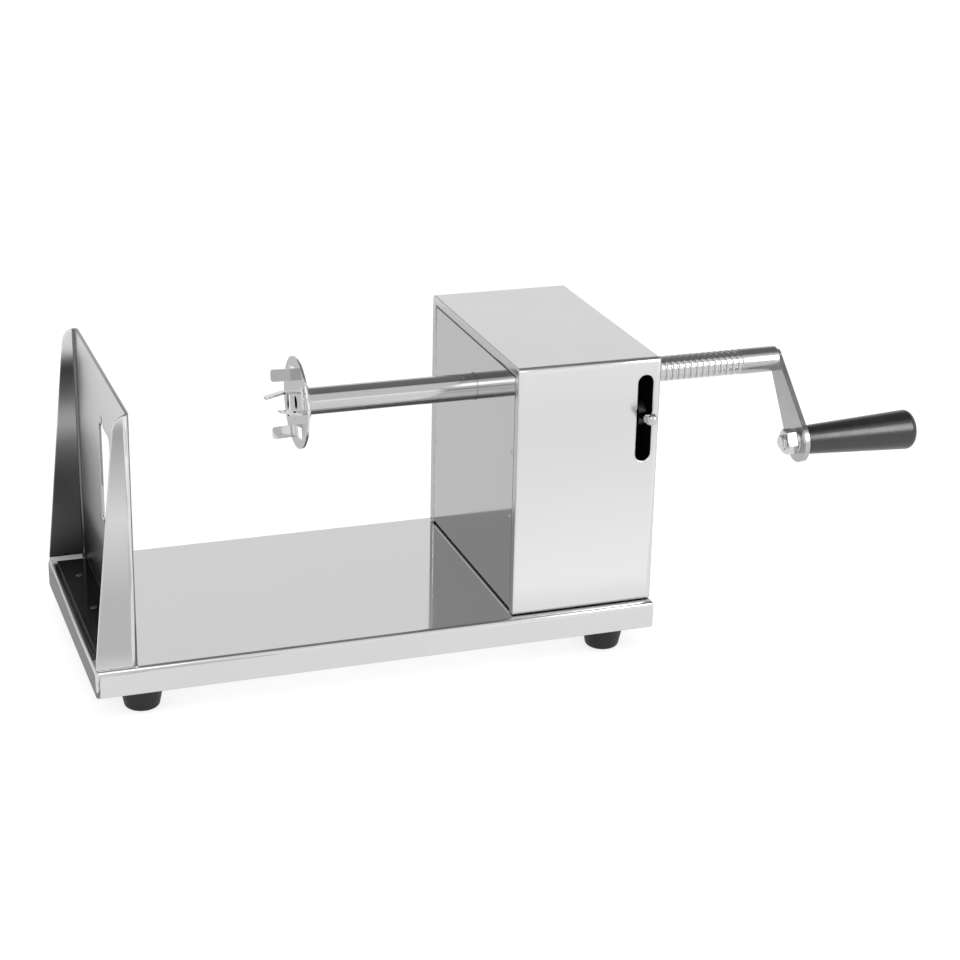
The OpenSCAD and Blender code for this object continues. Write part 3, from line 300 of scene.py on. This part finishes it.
def bump(n, links, bsdf, layers, fold=0.0):
    """Chained bump layers: (height output, strength, distance). They lie over edges that are
    shaded round to the radius fold (mm)."""
    normal = None
    if fold:
        soft = n.new("ShaderNodeBevel")
        soft.samples = 8
        soft.inputs["Radius"].default_value = fold * MM
        normal = soft.outputs["Normal"]
    for height, strength, distance in layers:
        b = n.new("ShaderNodeBump")
        b.inputs["Strength"].default_value = strength
        b.inputs["Distance"].default_value = distance
        links.new(height, b.inputs["Height"])
        if normal is not None:
            links.new(normal, b.inputs["Normal"])
        normal = b.outputs["Normal"]
    links.new(normal, bsdf.inputs["Normal"])


def box_mask(n, links, coords, low, high):
    """1 where the surface lies inside the box from low to high (tool coordinates), else 0."""
    place = axes(n, links, coords)
    a, b = at(*low), at(*high)
    found = None
    for i, axis in enumerate("XYZ"):
        for operation, limit in (("GREATER_THAN", a[i]), ("LESS_THAN", b[i])):
            test = calc(n, links, operation, place[axis], limit)
            found = test if found is None else calc(n, links, "MULTIPLY", found, test)
    return found


def blended(n, links, factor, a, b, colour=False):
    """a where the factor is 0 and b where it is 1. a is an output, b a number or an output."""
    mix = n.new("ShaderNodeMix")
    mix.data_type = "RGBA" if colour else "FLOAT"
    start = 6 if colour else 2
    links.new(factor, mix.inputs[0])
    links.new(a, mix.inputs[start])
    if isinstance(b, (int, float)):
        mix.inputs[start + 1].default_value = rgba(b) if colour else b
    else:
        links.new(b, mix.inputs[start + 1])
    return mix.outputs[2 if colour else 0]


def painted_reflection_bands(n, links, coords, low, high, stops):
    """Painted reflection greys that change with the height from low to high (mm). Each stop
    is (share of the height, grey)."""
    height = axes(n, links, coords)["Z"]
    r = n.new("ShaderNodeValToRGB")
    r.color_ramp.interpolation = "B_SPLINE"
    elements = r.color_ramp.elements
    for i, (place, grey) in enumerate((stops[0], stops[-1], *stops[1:-1])):
        e = elements[i] if i < 2 else elements.new(place)
        e.position, e.color = place, rgba(grey)
    links.new(spread(n, links, height, 0, 1, at(0, 0, low).z, at(0, 0, high).z), r.inputs[0])
    return r.outputs["Color"]


def steel_tint(level):
    """A grey with a trace of blue. A colour stays as it is."""
    return level if isinstance(level, tuple) else (level, level + 0.001, level + 0.003)


def metal(name, low, high, rough_low, rough_high, stretch=(1, 1, 1), wave=0.0, scratch=0.02,
          fold=0.0, zones=()):
    """Steel: cloudy tint, uneven polish with fine wiping marks, and hair-fine scratches. Each
    zone is (box corner, far corner, tint, roughness) in tool coordinates: painted shade, painted
    highlights and painted reflections on the inner sides of a sheet, and the tint of its cut
    edges. A list as the tint holds painted reflection bands over the height of the box."""
    m, n, links, bsdf, coords = principled(name)
    clouds = noise(n, links, coords, CLOUD_SCALE, 3)
    tint = ramp(n, links, clouds, steel_tint(low), steel_tint(high))
    smears = noise(n, links, coords, SMEAR_SCALE, 5, stretch, 0.6)
    roughness = ramp(n, links, smears, rough_low, rough_high)
    for corner, far_corner, zone_tint, zone_rough in zones:
        inside = box_mask(n, links, coords, corner, far_corner)
        if isinstance(zone_tint, list):
            zone_tint = painted_reflection_bands(n, links, coords, corner[2], far_corner[2], zone_tint)
        tint = blended(n, links, inside, tint, zone_tint, True)
        roughness = blended(n, links, inside, roughness, zone_rough)
    bsdf.inputs["Metallic"].default_value = 1.0
    links.new(tint, bsdf.inputs["Base Color"])
    links.new(roughness, bsdf.inputs["Roughness"])
    layers = [(noise(n, links, coords, HAIR_SCALE, 3, stretch), scratch, HAIR_HEIGHT)]
    if wave:
        layers.append((noise(n, links, coords, WAVE_SCALE, 1), wave, WAVE_HEIGHT))
    bump(n, links, bsdf, layers, fold)
    return m


def black_material(name, low, high, rough_low, rough_high, ior=1.5):
    m, n, links, bsdf, coords = principled(name)
    tint = ramp(n, links, noise(n, links, coords, BLACK_TINT_SCALE, 4), low, high)
    spots = noise(n, links, coords, BLACK_ROUGH_SCALE, 4)
    links.new(tint, bsdf.inputs["Base Color"])
    links.new(ramp(n, links, spots, rough_low, rough_high), bsdf.inputs["Roughness"])
    bsdf.inputs["IOR"].default_value = ior
    grain = noise(n, links, coords, BLACK_GRAIN_SCALE, 2)
    bump(n, links, bsdf, [(grain, BLACK_GRAIN_STRENGTH, BLACK_GRAIN_HEIGHT)])
    return m


# Pieces ---------------------------------------------------------------------------------------
def circle(r, z, steps):
    return [(r * math.cos(math.tau * i / steps), r * math.sin(math.tau * i / steps), z)
            for i in range(steps)]


class Shape:
    """Collects faces in tool coordinates (mm) and turns them into one object."""

    def __init__(self):
        self.verts, self.faces = [], []

    def add(self, verts, faces, m=None):
        base = len(self.verts)
        self.verts += [tuple(m @ Vector(v)) if m else tuple(v) for v in verts]
        self.faces += [tuple(base + i for i in f) for f in faces]

    def turned(self, profile, m, steps):
        """A profile of (along, radius) turned round the local Z axis. Radius 0 closes an end."""
        verts, faces, rings = [], [], []
        for z, r in profile:
            if r == 0:
                rings.append([len(verts)] * steps)
                verts.append((0, 0, z))
            else:
                rings.append([len(verts) + i for i in range(steps)])
                verts += circle(r, z, steps)
        for a, b in zip(rings, rings[1:]):
            for i in range(steps):
                j = (i + 1) % steps
                face = list(dict.fromkeys([a[i], a[j], b[j], b[i]]))
                if len(face) > 2:
                    faces.append(face)
        self.add(verts, faces, m)

    def build(self, name, material, body, stands_for, angle=32):
        """Makes the object. Folds sharper than the angle (degrees) keep a hard edge."""
        mesh = bpy.data.meshes.new(name)
        mesh.from_pydata([at(*v) for v in self.verts], [], self.faces)
        bm = bmesh.new()
        bm.from_mesh(mesh)
        bmesh.ops.remove_doubles(bm, verts=bm.verts, dist=SAME_POINT)
        bmesh.ops.dissolve_degenerate(bm, edges=bm.edges, dist=SAME_POINT)
        bmesh.ops.recalc_face_normals(bm, faces=bm.faces)
        bm.to_mesh(mesh)
        bm.free()
        mesh.polygons.foreach_set("use_smooth", [True] * len(mesh.polygons))
        mesh.set_sharp_from_angle(angle=math.radians(angle))
        mesh.materials.append(material)
        obj = placed(name, mesh)
        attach(obj, body)
        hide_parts(stands_for)
        return obj


def facing(x, y, z, direction):
    """Moves local Z = 0 to a point and local +Z to a direction."""
    turn = Vector((0, 0, 1)).rotation_difference(Vector(direction)).to_matrix().to_4x4()
    return Matrix.Translation((x, y, z)) @ turn


def hexagon_nut(shape, across_flats, height, bore_r, m):
    """A nut from local z = 0 to its height, with chamfered corners and bore at both faces."""
    steps, slope = FINE_STEPS, math.tan(math.radians(30))
    flat, sixth = across_flats / 2, math.pi / 3
    chamfer = 0.12 * bore_r

    def rim(top):
        points = []
        for i in range(steps):
            a = math.tau * i / steps
            r = flat / math.cos((a + sixth / 2) % sixth - sixth / 2)
            drop = max(0.0, (r - 0.985 * flat) * slope)
            points.append((r * math.cos(a), r * math.sin(a), height - drop if top else drop))
        return points

    loops = [circle(bore_r, chamfer, steps), circle(bore_r + chamfer, 0, steps),
             circle(0.94 * flat, 0, steps), rim(False), rim(True),
             circle(0.94 * flat, height, steps), circle(bore_r + chamfer, height, steps),
             circle(bore_r, height - chamfer, steps)]
    faces = []
    for k in range(len(loops)):
        a, b = k * steps, (k + 1) % len(loops) * steps
        faces += [(a + i, a + (i + 1) % steps, b + (i + 1) % steps, b + i) for i in range(steps)]
    shape.add([v for loop in loops for v in loop], faces, m)


def screw(shape, d, length, head_d, head_h, m, crossed=True):
    """A screw whose domed head stands on local z = 0 and whose shank reaches down. The recess
    is a cross, or else a hexagon."""
    r, rim, shank_r, steps = head_d / 2, 0.62 * head_h, d / 2 - 0.1, 48
    dome = [(rim + (head_h - rim) * math.sin(t), r * math.cos(t)) for t in (0.25, 0.55, 0.85)]
    shape.turned([(-length, 0), (-length, d / 2 - 0.45), (-length + 0.35, shank_r), (0, shank_r),
                  (0, r - 0.1), (0.1, r), (rim, r)] + dome, m, steps)
    top, top_r = dome[-1]
    if crossed:
        arm, half, taper, deep = 0.5 * d, 0.13 * d, 0.72, 0.45 * head_h
        loop = []
        for k in range(4):
            c, s = math.cos(math.pi / 2 * k), math.sin(math.pi / 2 * k)
            loop += [(x * c - y * s, x * s + y * c)
                     for x, y in ((half, -half), (arm, -half), (arm, half))]
    else:
        taper, deep = 1, 0.6 * head_h
        loop = [(x, y) for x, y, _ in circle(0.42 * d, 0, 6)]
    bm = bmesh.new()
    outer = [bm.verts.new(v) for v in circle(top_r, top, steps)]
    inner = [bm.verts.new((x, y, top)) for x, y in loop]
    edges = [bm.edges.new((a, b)) for ring in (outer, inner)
             for a, b in zip(ring, ring[1:] + ring[:1])]
    bmesh.ops.triangle_fill(bm, use_beauty=True, edges=edges)
    low = [bm.verts.new((x * taper, y * taper, top - deep)) for x, y in loop]
    for i in range(len(loop)):
        j = (i + 1) % len(loop)
        bm.faces.new((inner[i], inner[j], low[j], low[i]))
    bm.faces.new(low)
    bm.verts.index_update()
    shape.add([v.co.copy() for v in bm.verts], [[v.index for v in f.verts] for f in bm.faces], m)
    bm.free()


def helix(shape, x0, x1, origin, pitch, profile, y, z, steps, fade):
    """A threaded length along X: profile holds (share of the pitch, radius) and repeats once
    each pitch. The groove runs out over fade mm at both ends."""
    crest = max(r for _, r in profile)
    first = math.floor((x0 - origin) / pitch) - 1
    last = math.ceil((x1 - origin) / pitch) + 1
    points = [(lap + share, r) for lap in range(first, last) for share, r in profile]
    verts, faces = [], []
    for k in range(steps + 1):
        turn = k / steps
        s, c = math.sin(math.tau * turn), math.cos(math.tau * turn)
        for share, r in points:
            x = origin + pitch * (share + turn)
            kept = max(0.0, min(1.0, (x - x0) / fade, (x1 - x) / fade))
            r = crest - (crest - r) * kept
            verts.append((min(max(x, x0), x1), y + r * s, z - r * c))
    row = len(points)
    for k in range(steps):
        for i in range(row - 1):
            a, b = k * row + i, (k + 1) * row + i
            xs = [verts[j][0] for j in (a, a + 1, b, b + 1)]
            if max(xs) - min(xs) > 1e-6:
                faces.append((a, a + 1, b + 1, b))
    shape.add(verts, faces)


def ring_cap(shape, x, r0, r1, y, z, steps):
    """A flat ring that closes a threaded length, with its points at the helix's angles."""
    verts = [(x, y + r * math.sin(math.tau * k / steps), z - r * math.cos(math.tau * k / steps))
             for r in (r0, r1) for k in range(steps)]
    faces = [(k, (k + 1) % steps, steps + (k + 1) % steps, steps + k) for k in range(steps)]
    shape.add(verts, faces)


def feed_screw():
    """The threaded sleeve: crest, rounded edges and floor of the groove."""
    s = Shape()
    x0, x1, bore_r, crest, depth, pitch = 236, 390, 5.83, 7.25, 0.75, 3.75
    tooth_x = HALF_NUT_X + 2 + 2.5
    half, floor_half = 0.75 / pitch, 0.45 / pitch
    low = crest - depth
    profile = [(-half - 0.03, crest), (-half - 0.005, crest - 0.03), (-half + 0.02, crest - 0.15),
               (-floor_half - 0.015, low + 0.08), (-floor_half + 0.01, low),
               (floor_half - 0.01, low), (floor_half + 0.015, low + 0.08),
               (half - 0.02, crest - 0.15), (half + 0.005, crest - 0.03), (half + 0.03, crest)]
    helix(s, x0, x1, tooth_x, pitch, profile, 0, AXIS_Z, FINE_STEPS, 1.0)
    for x in (x0, x1):
        ring_cap(s, x, bore_r, crest, 0, AXIS_Z, FINE_STEPS)
    s.turned([(x0, bore_r), (x1, bore_r)], facing(0, 0, AXIS_Z, (1, 0, 0)), FINE_STEPS)
    s.build("thread_sleeve", turned, "screw_unit", "feed_screw", angle=40)


def handle_bolt():
    """The bolt through the grip with its thread at the crank arm, and its nut."""
    s = Shape()
    y, z, d, pitch, depth = -34.7948, 69.5564, 8, 1.25, 0.5
    tip, thread_end, head, nut_x = 402.16, 410.96, 470.3, 404.56
    point, steps = 0.6, 48
    r = d / 2
    root = r - depth
    profile = [(-0.5, r), (-0.44, r), (-0.06, root), (0.06, root), (0.44, r)]
    helix(s, tip + point, thread_end, tip, pitch, profile, y, z, steps, 0.8)
    m = facing(0, y, z, (1, 0, 0))
    s.turned([(tip, 0), (tip, r - 0.7), (tip + point, r)], m, steps)
    s.turned([(thread_end, r), (head, r)], m, steps)
    screw(s, d, 0.9, 1.6 * d, 0.6 * d, facing(head, y, z, (1, 0, 0)), False)
    s.build("handle_bolt_detail", plain, "screw_unit", "handle_bolt")
    nut = Shape()
    hexagon_nut(nut, d * NUT_WIDTH, 6.4, 4.02, facing(nut_x, y, z, (1, 0, 0)))
    nut.build("handle_nut_detail", plain, "screw_unit", "handle_nut", angle=20)


def fasteners():
    # node, body, thread, shank, direction of the head, material, places
    screws = [
        ("foot_screws", "base", 5, 12.7, (0, 0, -1), plain, [(x, y, -21.3) for x, y in FEET]),
        ("blade_screws", "base", 4, 3.1, (1, 0, 0), plain,
         [(24.2, -32.75, z) for z in (91.95, 67.45)]),
        ("plate_screws", "base", 4, 2.8, (0, 0, -1), inner_shaded_steel,
         [(12.6, y, -1.2) for y in (-45.867, 0, 45.867)]),
        ("housing_screws", "base", 4, 3.8, (0, 0, -1), plain,
         [(x, y, -1.2) for x, side in ((246.4, 65), (302.2, 36.1)) for y in (-side, side)]),
        ("frame_screws", "base", 5, 7.7, (0, 0, 1), plain, [(x, y, 1.5) for x, y in FRAME_HOLES]),
        ("half_nut_screws", "lever", 3, 9, (-1, 0, 0), plain, [(298.3, y, 96.15) for y in (-9, 9)]),
    ]
    for node, body, d, length, way, material, places in screws:
        s = Shape()
        for p in places:
            screw(s, d, length, SCREW_HEAD_D * d, SCREW_HEAD_H * d, facing(*p, way))
        s.build(node + "_detail", material, body, node)
    # node, height of the lower face, direction, places
    for node, low, way, places in (("foot_nuts", -13.6, 1, FEET),
                                   ("frame_nuts", -1.2, -1, FRAME_HOLES)):
        s = Shape()
        for x, y in places:
            hexagon_nut(s, 5 * NUT_WIDTH, 4, 2.42, facing(x, y, low, (0, 0, way)))
        s.build(node + "_detail", plain, "base", node, angle=20)


def rivets():
    """The four rivets of the side plate, domed a little on both sides."""
    s = Shape()
    x0, x1, rise, head_r, shank_r = 228.2, 230.9, 0.2, 1.625, 1.25
    for y in (-62.7, 62.7):
        for z in (0.4 * SIDE_PLATE_H, 0.68 * SIDE_PLATE_H):
            front = [(x0 - rise * math.sin(t), head_r * math.cos(t)) for t in (1.1, 0.7, 0.3, 0)]
            back = [(x1 + rise * math.sin(t), head_r * math.cos(t)) for t in (0, 0.3, 0.7, 1.1)]
            s.turned([(x0 - rise, 0)] + front + [(x0, shank_r), (x1, shank_r)] + back
                     + [(x1 + rise, 0)], facing(0, y, z, (1, 0, 0)), 32)
    s.build("side_plate_rivets_detail", plain, "base", "side_plate_rivets",
            angle=50)


def spring():
    """The coil between the shelf and the lever's pad, with closed ends on the spring's axis."""
    wire_r, coil_r, low, high = 0.55, 3.95, 63.5, 94.65
    x0, y0, turns, steps, sides = HALF_NUT_X, -38.0, 10, 48, 12
    lead, rise = 1.32, 1.76  # height below the first turn, height of a closed end turn
    climb = high - low - 2 * lead - 2 * rise

    def height(turn):
        if turn < 1:
            return rise * turn
        if turn > turns - 1:
            return climb + 2 * rise - rise * (turns - turn)
        return rise + climb * (turn - 1) / (turns - 2)

    path = [Vector((x0, y0, low))]
    for i in range(turns * steps + 1):
        turn = i / steps
        t = min(1.0, turn, turns - turn)
        r = coil_r * t * t * (3 - 2 * t)
        path.append(Vector((x0 + r * math.cos(math.tau * turn), y0 + r * math.sin(math.tau * turn),
                            low + lead + height(turn))))
    path.append(Vector((x0, y0, high)))
    last = len(path) - 1
    verts, faces = [], []
    side = Vector((1, 0, 0))
    for i, p in enumerate(path):
        way = (path[min(i + 1, last)] - path[max(i - 1, 0)]).normalized()
        if i in (0, last):
            way = Vector((0, 0, 1))
        side = (side - way * side.dot(way)).normalized()
        other = way.cross(side)
        verts += [p + wire_r * (side * c + other * s) for c, s, _ in circle(1, 0, sides)]
    for i in range(last):
        for k in range(sides):
            a, b = i * sides + k, i * sides + (k + 1) % sides
            faces.append((a, b, b + sides, a + sides))
    faces += [tuple(range(sides)), tuple(range(last * sides, (last + 1) * sides))]
    s = Shape()
    s.add(verts, faces)
    coil = s.build("spring_coil", inner_shaded_steel, "base", "lever_spring", angle=60)
    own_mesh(coil)


def dress(node, material, bevel):
    """Gives a CAD solid its material, and rounds its edges by bevel mm."""
    obj = nodes[node]
    obj.data.materials.clear()
    obj.data.materials.append(material)
    if bevel:
        weld = obj.modifiers.new("weld", "WELD")
        weld.merge_threshold = 0.000005
        round_edge = obj.modifiers.new("round_edge", "BEVEL")
        round_edge.width = bevel * MM
        round_edge.segments = 2
        round_edge.limit_method = "ANGLE"
        round_edge.angle_limit = math.radians(40)
        round_edge.harden_normals = True
        round_edge.use_clamp_overlap = True


# The studio -----------------------------------------------------------------------------------
camera()
world()
floor()
# name, width, height, power, place, target
lamp("top_light", 1.3, 1.0, 5.5, (0.1, -0.35, 1.5), (0, 0, 0.05))
lamp("front_light", 2.2, 0.42, 13, (0.2, -1.55, 0.42), (0.2, 0, 0.1))
# name, x from and to, y from and to, height, level at both ends of y
level_card("overhead", -1.6, 2.6, -0.5, 2.5, 1.7, 0.2, 0.3)
upright_card("back_left", -2.4, -0.1, 2.7, 0.3, 2.4, 0.42)
# name, x from and to, y from and to, level at both ends of y
floor_card("left_far", -160, 226, 80, 600, 0.66, 0.66, lift=0.1)
floor_card("skirt_end", -17.5, -2, -100, 150, 0.32, 0.32)
floor_card("plate_back_low", -45, -4, -235, -100, 0.48, 0.48)
floor_card("plate_back_turn", -60, -30, -290, -235, 0.9, 0.48)
floor_card("plate_back_top", -90, -46, -450, -290, 0.9, 0.9)
floor_card("far_flange_dark", -46, -12, -402, -300, 0.12, 0.14)
floor_card("far_flange_turn", -40, -21, 145, 200, 0.2, 0.14)
floor_card("near_flange_top", 10, 170, -520, -344, 0.42, 0.98)
floor_card("near_flange_middle", 10, 120, -344, -224, 0.98, 0.69)
floor_card("near_flange_low", 10, 110, -224, -151, 0.69, 0.69)
floor_card("near_flange_foot", 9, 34, -151, -132, 0.69, 0.9)
floor_card("housing_front", 245, 580, -480, -152, 0.97, 1.22)
# name, x from and to, y, z from and to, level
upright_card("front_glow", -0.9, 1.3, -1.55, 0.21, 0.63, 1.35)
upright_card("prong_grey", -0.6, -0.2, -1.25, 0.03, 0.42, 0.6)
upright_card("tube_band", -0.95, -0.25, -1.25, 0.75, 1.6, 2.6)
upright_card("grip_band", 0.29, 0.5, -0.33, 0.2, 0.46, 7)

# Zones of the sheets, most of them painted shade, painted highlights and painted reflections:
# # box corner, far corner, tint or its bands over the height, roughness
TRAY_PAINTED_LIGHT = [
    ((-1, -62, -0.5), (22, 68.8, 0.5), 0.12, 0.12),  # between the flanges of the blade plate: painted shade
    ((-1, 68.8, -0.5), (22, 75.2, 0.5), 0.8, 0.6),  # along the far flange: a painted light line at its foot
]
# Painted reflections: greys over the height of the far flange's and the plate's inner sides
FAR_FLANGE_PAINTED_REFLECTION = [(0, 0.04), (0.12, 0.22), (0.22, 0.22), (0.36, 0.08), (0.52, 0.24),
                    (0.61, 0.8), (0.7, 0.2), (0.8, 0.08), (0.865, 0.04), (0.915, 1), (1, 0.9)]
PLATE_PAINTED_REFLECTION = [(0, 0.03), (0.2, 0.05), (0.28, 0.52), (0.58, 0.5), (0.72, 0.72), (1, 0.75)]
PLATE_ZONES = [
    ((-1, -74.1, -1), (21.2, 74.1, 140), 0.8, 0.08),  # all inner sides: a lighter tint, a painted reflection level
    # far flange's inner side: painted reflection bands
    ((-1, 73, 0), (19.3, 74.3, 137), FAR_FLANGE_PAINTED_REFLECTION, 0.45),
    # plate's inner side: painted reflection bands
    ((20.1, -74.1, 3), (21.2, 72.6, 137), PLATE_PAINTED_REFLECTION, 0.4),
    ((19.3, 72.6, 3), (21.2, 74.3, 140), 0.16, 0.2),  # bend between plate and far flange: painted shade in the crease
    ((-1, -74.1, -0.5), (21.2, 74.1, 3), 0.07, 0.12),  # sole: painted shade
    ((-1, 73.2, 0), (19.3, 75.3, 2.4), 0.9, 0.6),  # foot of the far flange: a painted light line
    ((-1, -80, 136.2), (23, 80, 137), 0.36, 0.3),  # top edge
]
COVER_PAINTED_SHADE = [((228.6, -71.5, -1), (308.7, 71.5, 139.9), 0.1, 0.5)]  # inside of the housing: painted shade
FRAME_PAINTED_SHADE = [
    ((229, -80, -5), (320, 80, 150), 0.1, 0.5),  # inside of the housing: painted shade
    ((228, -68, 4), (229.1, -66, 140), 0.04, 0.4),  # side plate's rim at the near seam: painted gap shadow
    ((228, -68, 134.4), (229.1, 68, 136), 0.04, 0.4),  # side plate's rim at the upper seam: painted gap shadow
]

# name, tint from and to, roughness from and to, stretch of the marks
sheet = metal("polished_sheet", 0.64, 0.66, 0.04, 0.08, (1, 1, 12), 0.03, fold=1.2,
              zones=TRAY_PAINTED_LIGHT)
plate_sheet = metal("plate_sheet", 0.65, 0.68, 0.05, 0.09, (1, 1, 12), 0.03, fold=0.7,
                    zones=PLATE_ZONES)
housing_sheet = metal("housing_sheet", 0.67, 0.69, 0.15, 0.2, (1, 1, 12), 0.03, fold=1.8,
                      zones=COVER_PAINTED_SHADE)
frame_sheet = metal("frame_sheet", 0.69, 0.71, 0.05, 0.1, (1, 10, 1), 0.03, fold=0.25,
                    zones=FRAME_PAINTED_SHADE)
turned = metal("turned_steel", 0.5, 0.56, 0.1, 0.17, (14, 1, 1))
arm_steel = metal("arm_steel", 0.42, 0.46, 0.2, 0.3, (1, 4, 4), fold=0.4)
disc_steel = metal("disc_steel", 0.65, 0.7, 0.06, 0.14, (1, 6, 6))
ground = metal("ground_steel", 0.6, 0.68, 0.14, 0.26, (1, 18, 1), scratch=0.1)
plain = metal("plated_steel", 0.58, 0.68, 0.14, 0.26)
# A darker, rougher copy of the steel for the pieces in the channel and the housing: painted shade
inner_shaded_steel = metal("inner_shaded_steel", 0.3, 0.36, 0.3, 0.45)
bronze = metal("bush_bronze", (0.5, 0.32, 0.12), (0.62, 0.42, 0.18), 0.22, 0.38)
rubber = black_material("foot_rubber", 0.006, 0.014, 0.46, 0.54, 1.38)
plastic = black_material("grip_plastic", 0.005, 0.01, 0.24, 0.3, 1.66)
blackened = black_material("blackened_steel", 0.006, 0.014, 0.4, 0.55)

# material, bevel (mm), CAD solids
for material, bevel, names in (
        (sheet, 0.15, ["base_tray"]),
        (plate_sheet, 0.15, ["blade_plate"]),
        (housing_sheet, 0.15, ["housing_cover"]),
        (frame_sheet, 0, ["drive_frame"]),
        (turned, 0, ["feed_tube", "lever_knob"]),
        (turned, 0.2, ["fork_collar"]),
        (disc_steel, 0.12, ["fork_disc"]),
        (arm_steel, 0, ["crank_arm"]),
        (ground, 0.05, ["blade"]),
        (plain, 0.15, ["handle_washer", "lever_pivot_clip"]),
        (inner_shaded_steel, 0.2, ["lever_pivot"]),
        (blackened, 0.3, ["release_lever"]),
        (bronze, 0.15, ["outer_bush", "inner_bush", "half_nut"]),
        (rubber, 0, ["foot_near_blade", "foot_far_blade", "foot_near_crank", "foot_far_crank"]),
        (plastic, 0, ["handle_grip"])):
    for node in names:
        dress(node, material, bevel)

feed_screw()
handle_bolt()
fasteners()
rivets()
spring()

bpy.context.scene.view_settings.view_transform = "Standard"
bpy.context.view_layer.update()
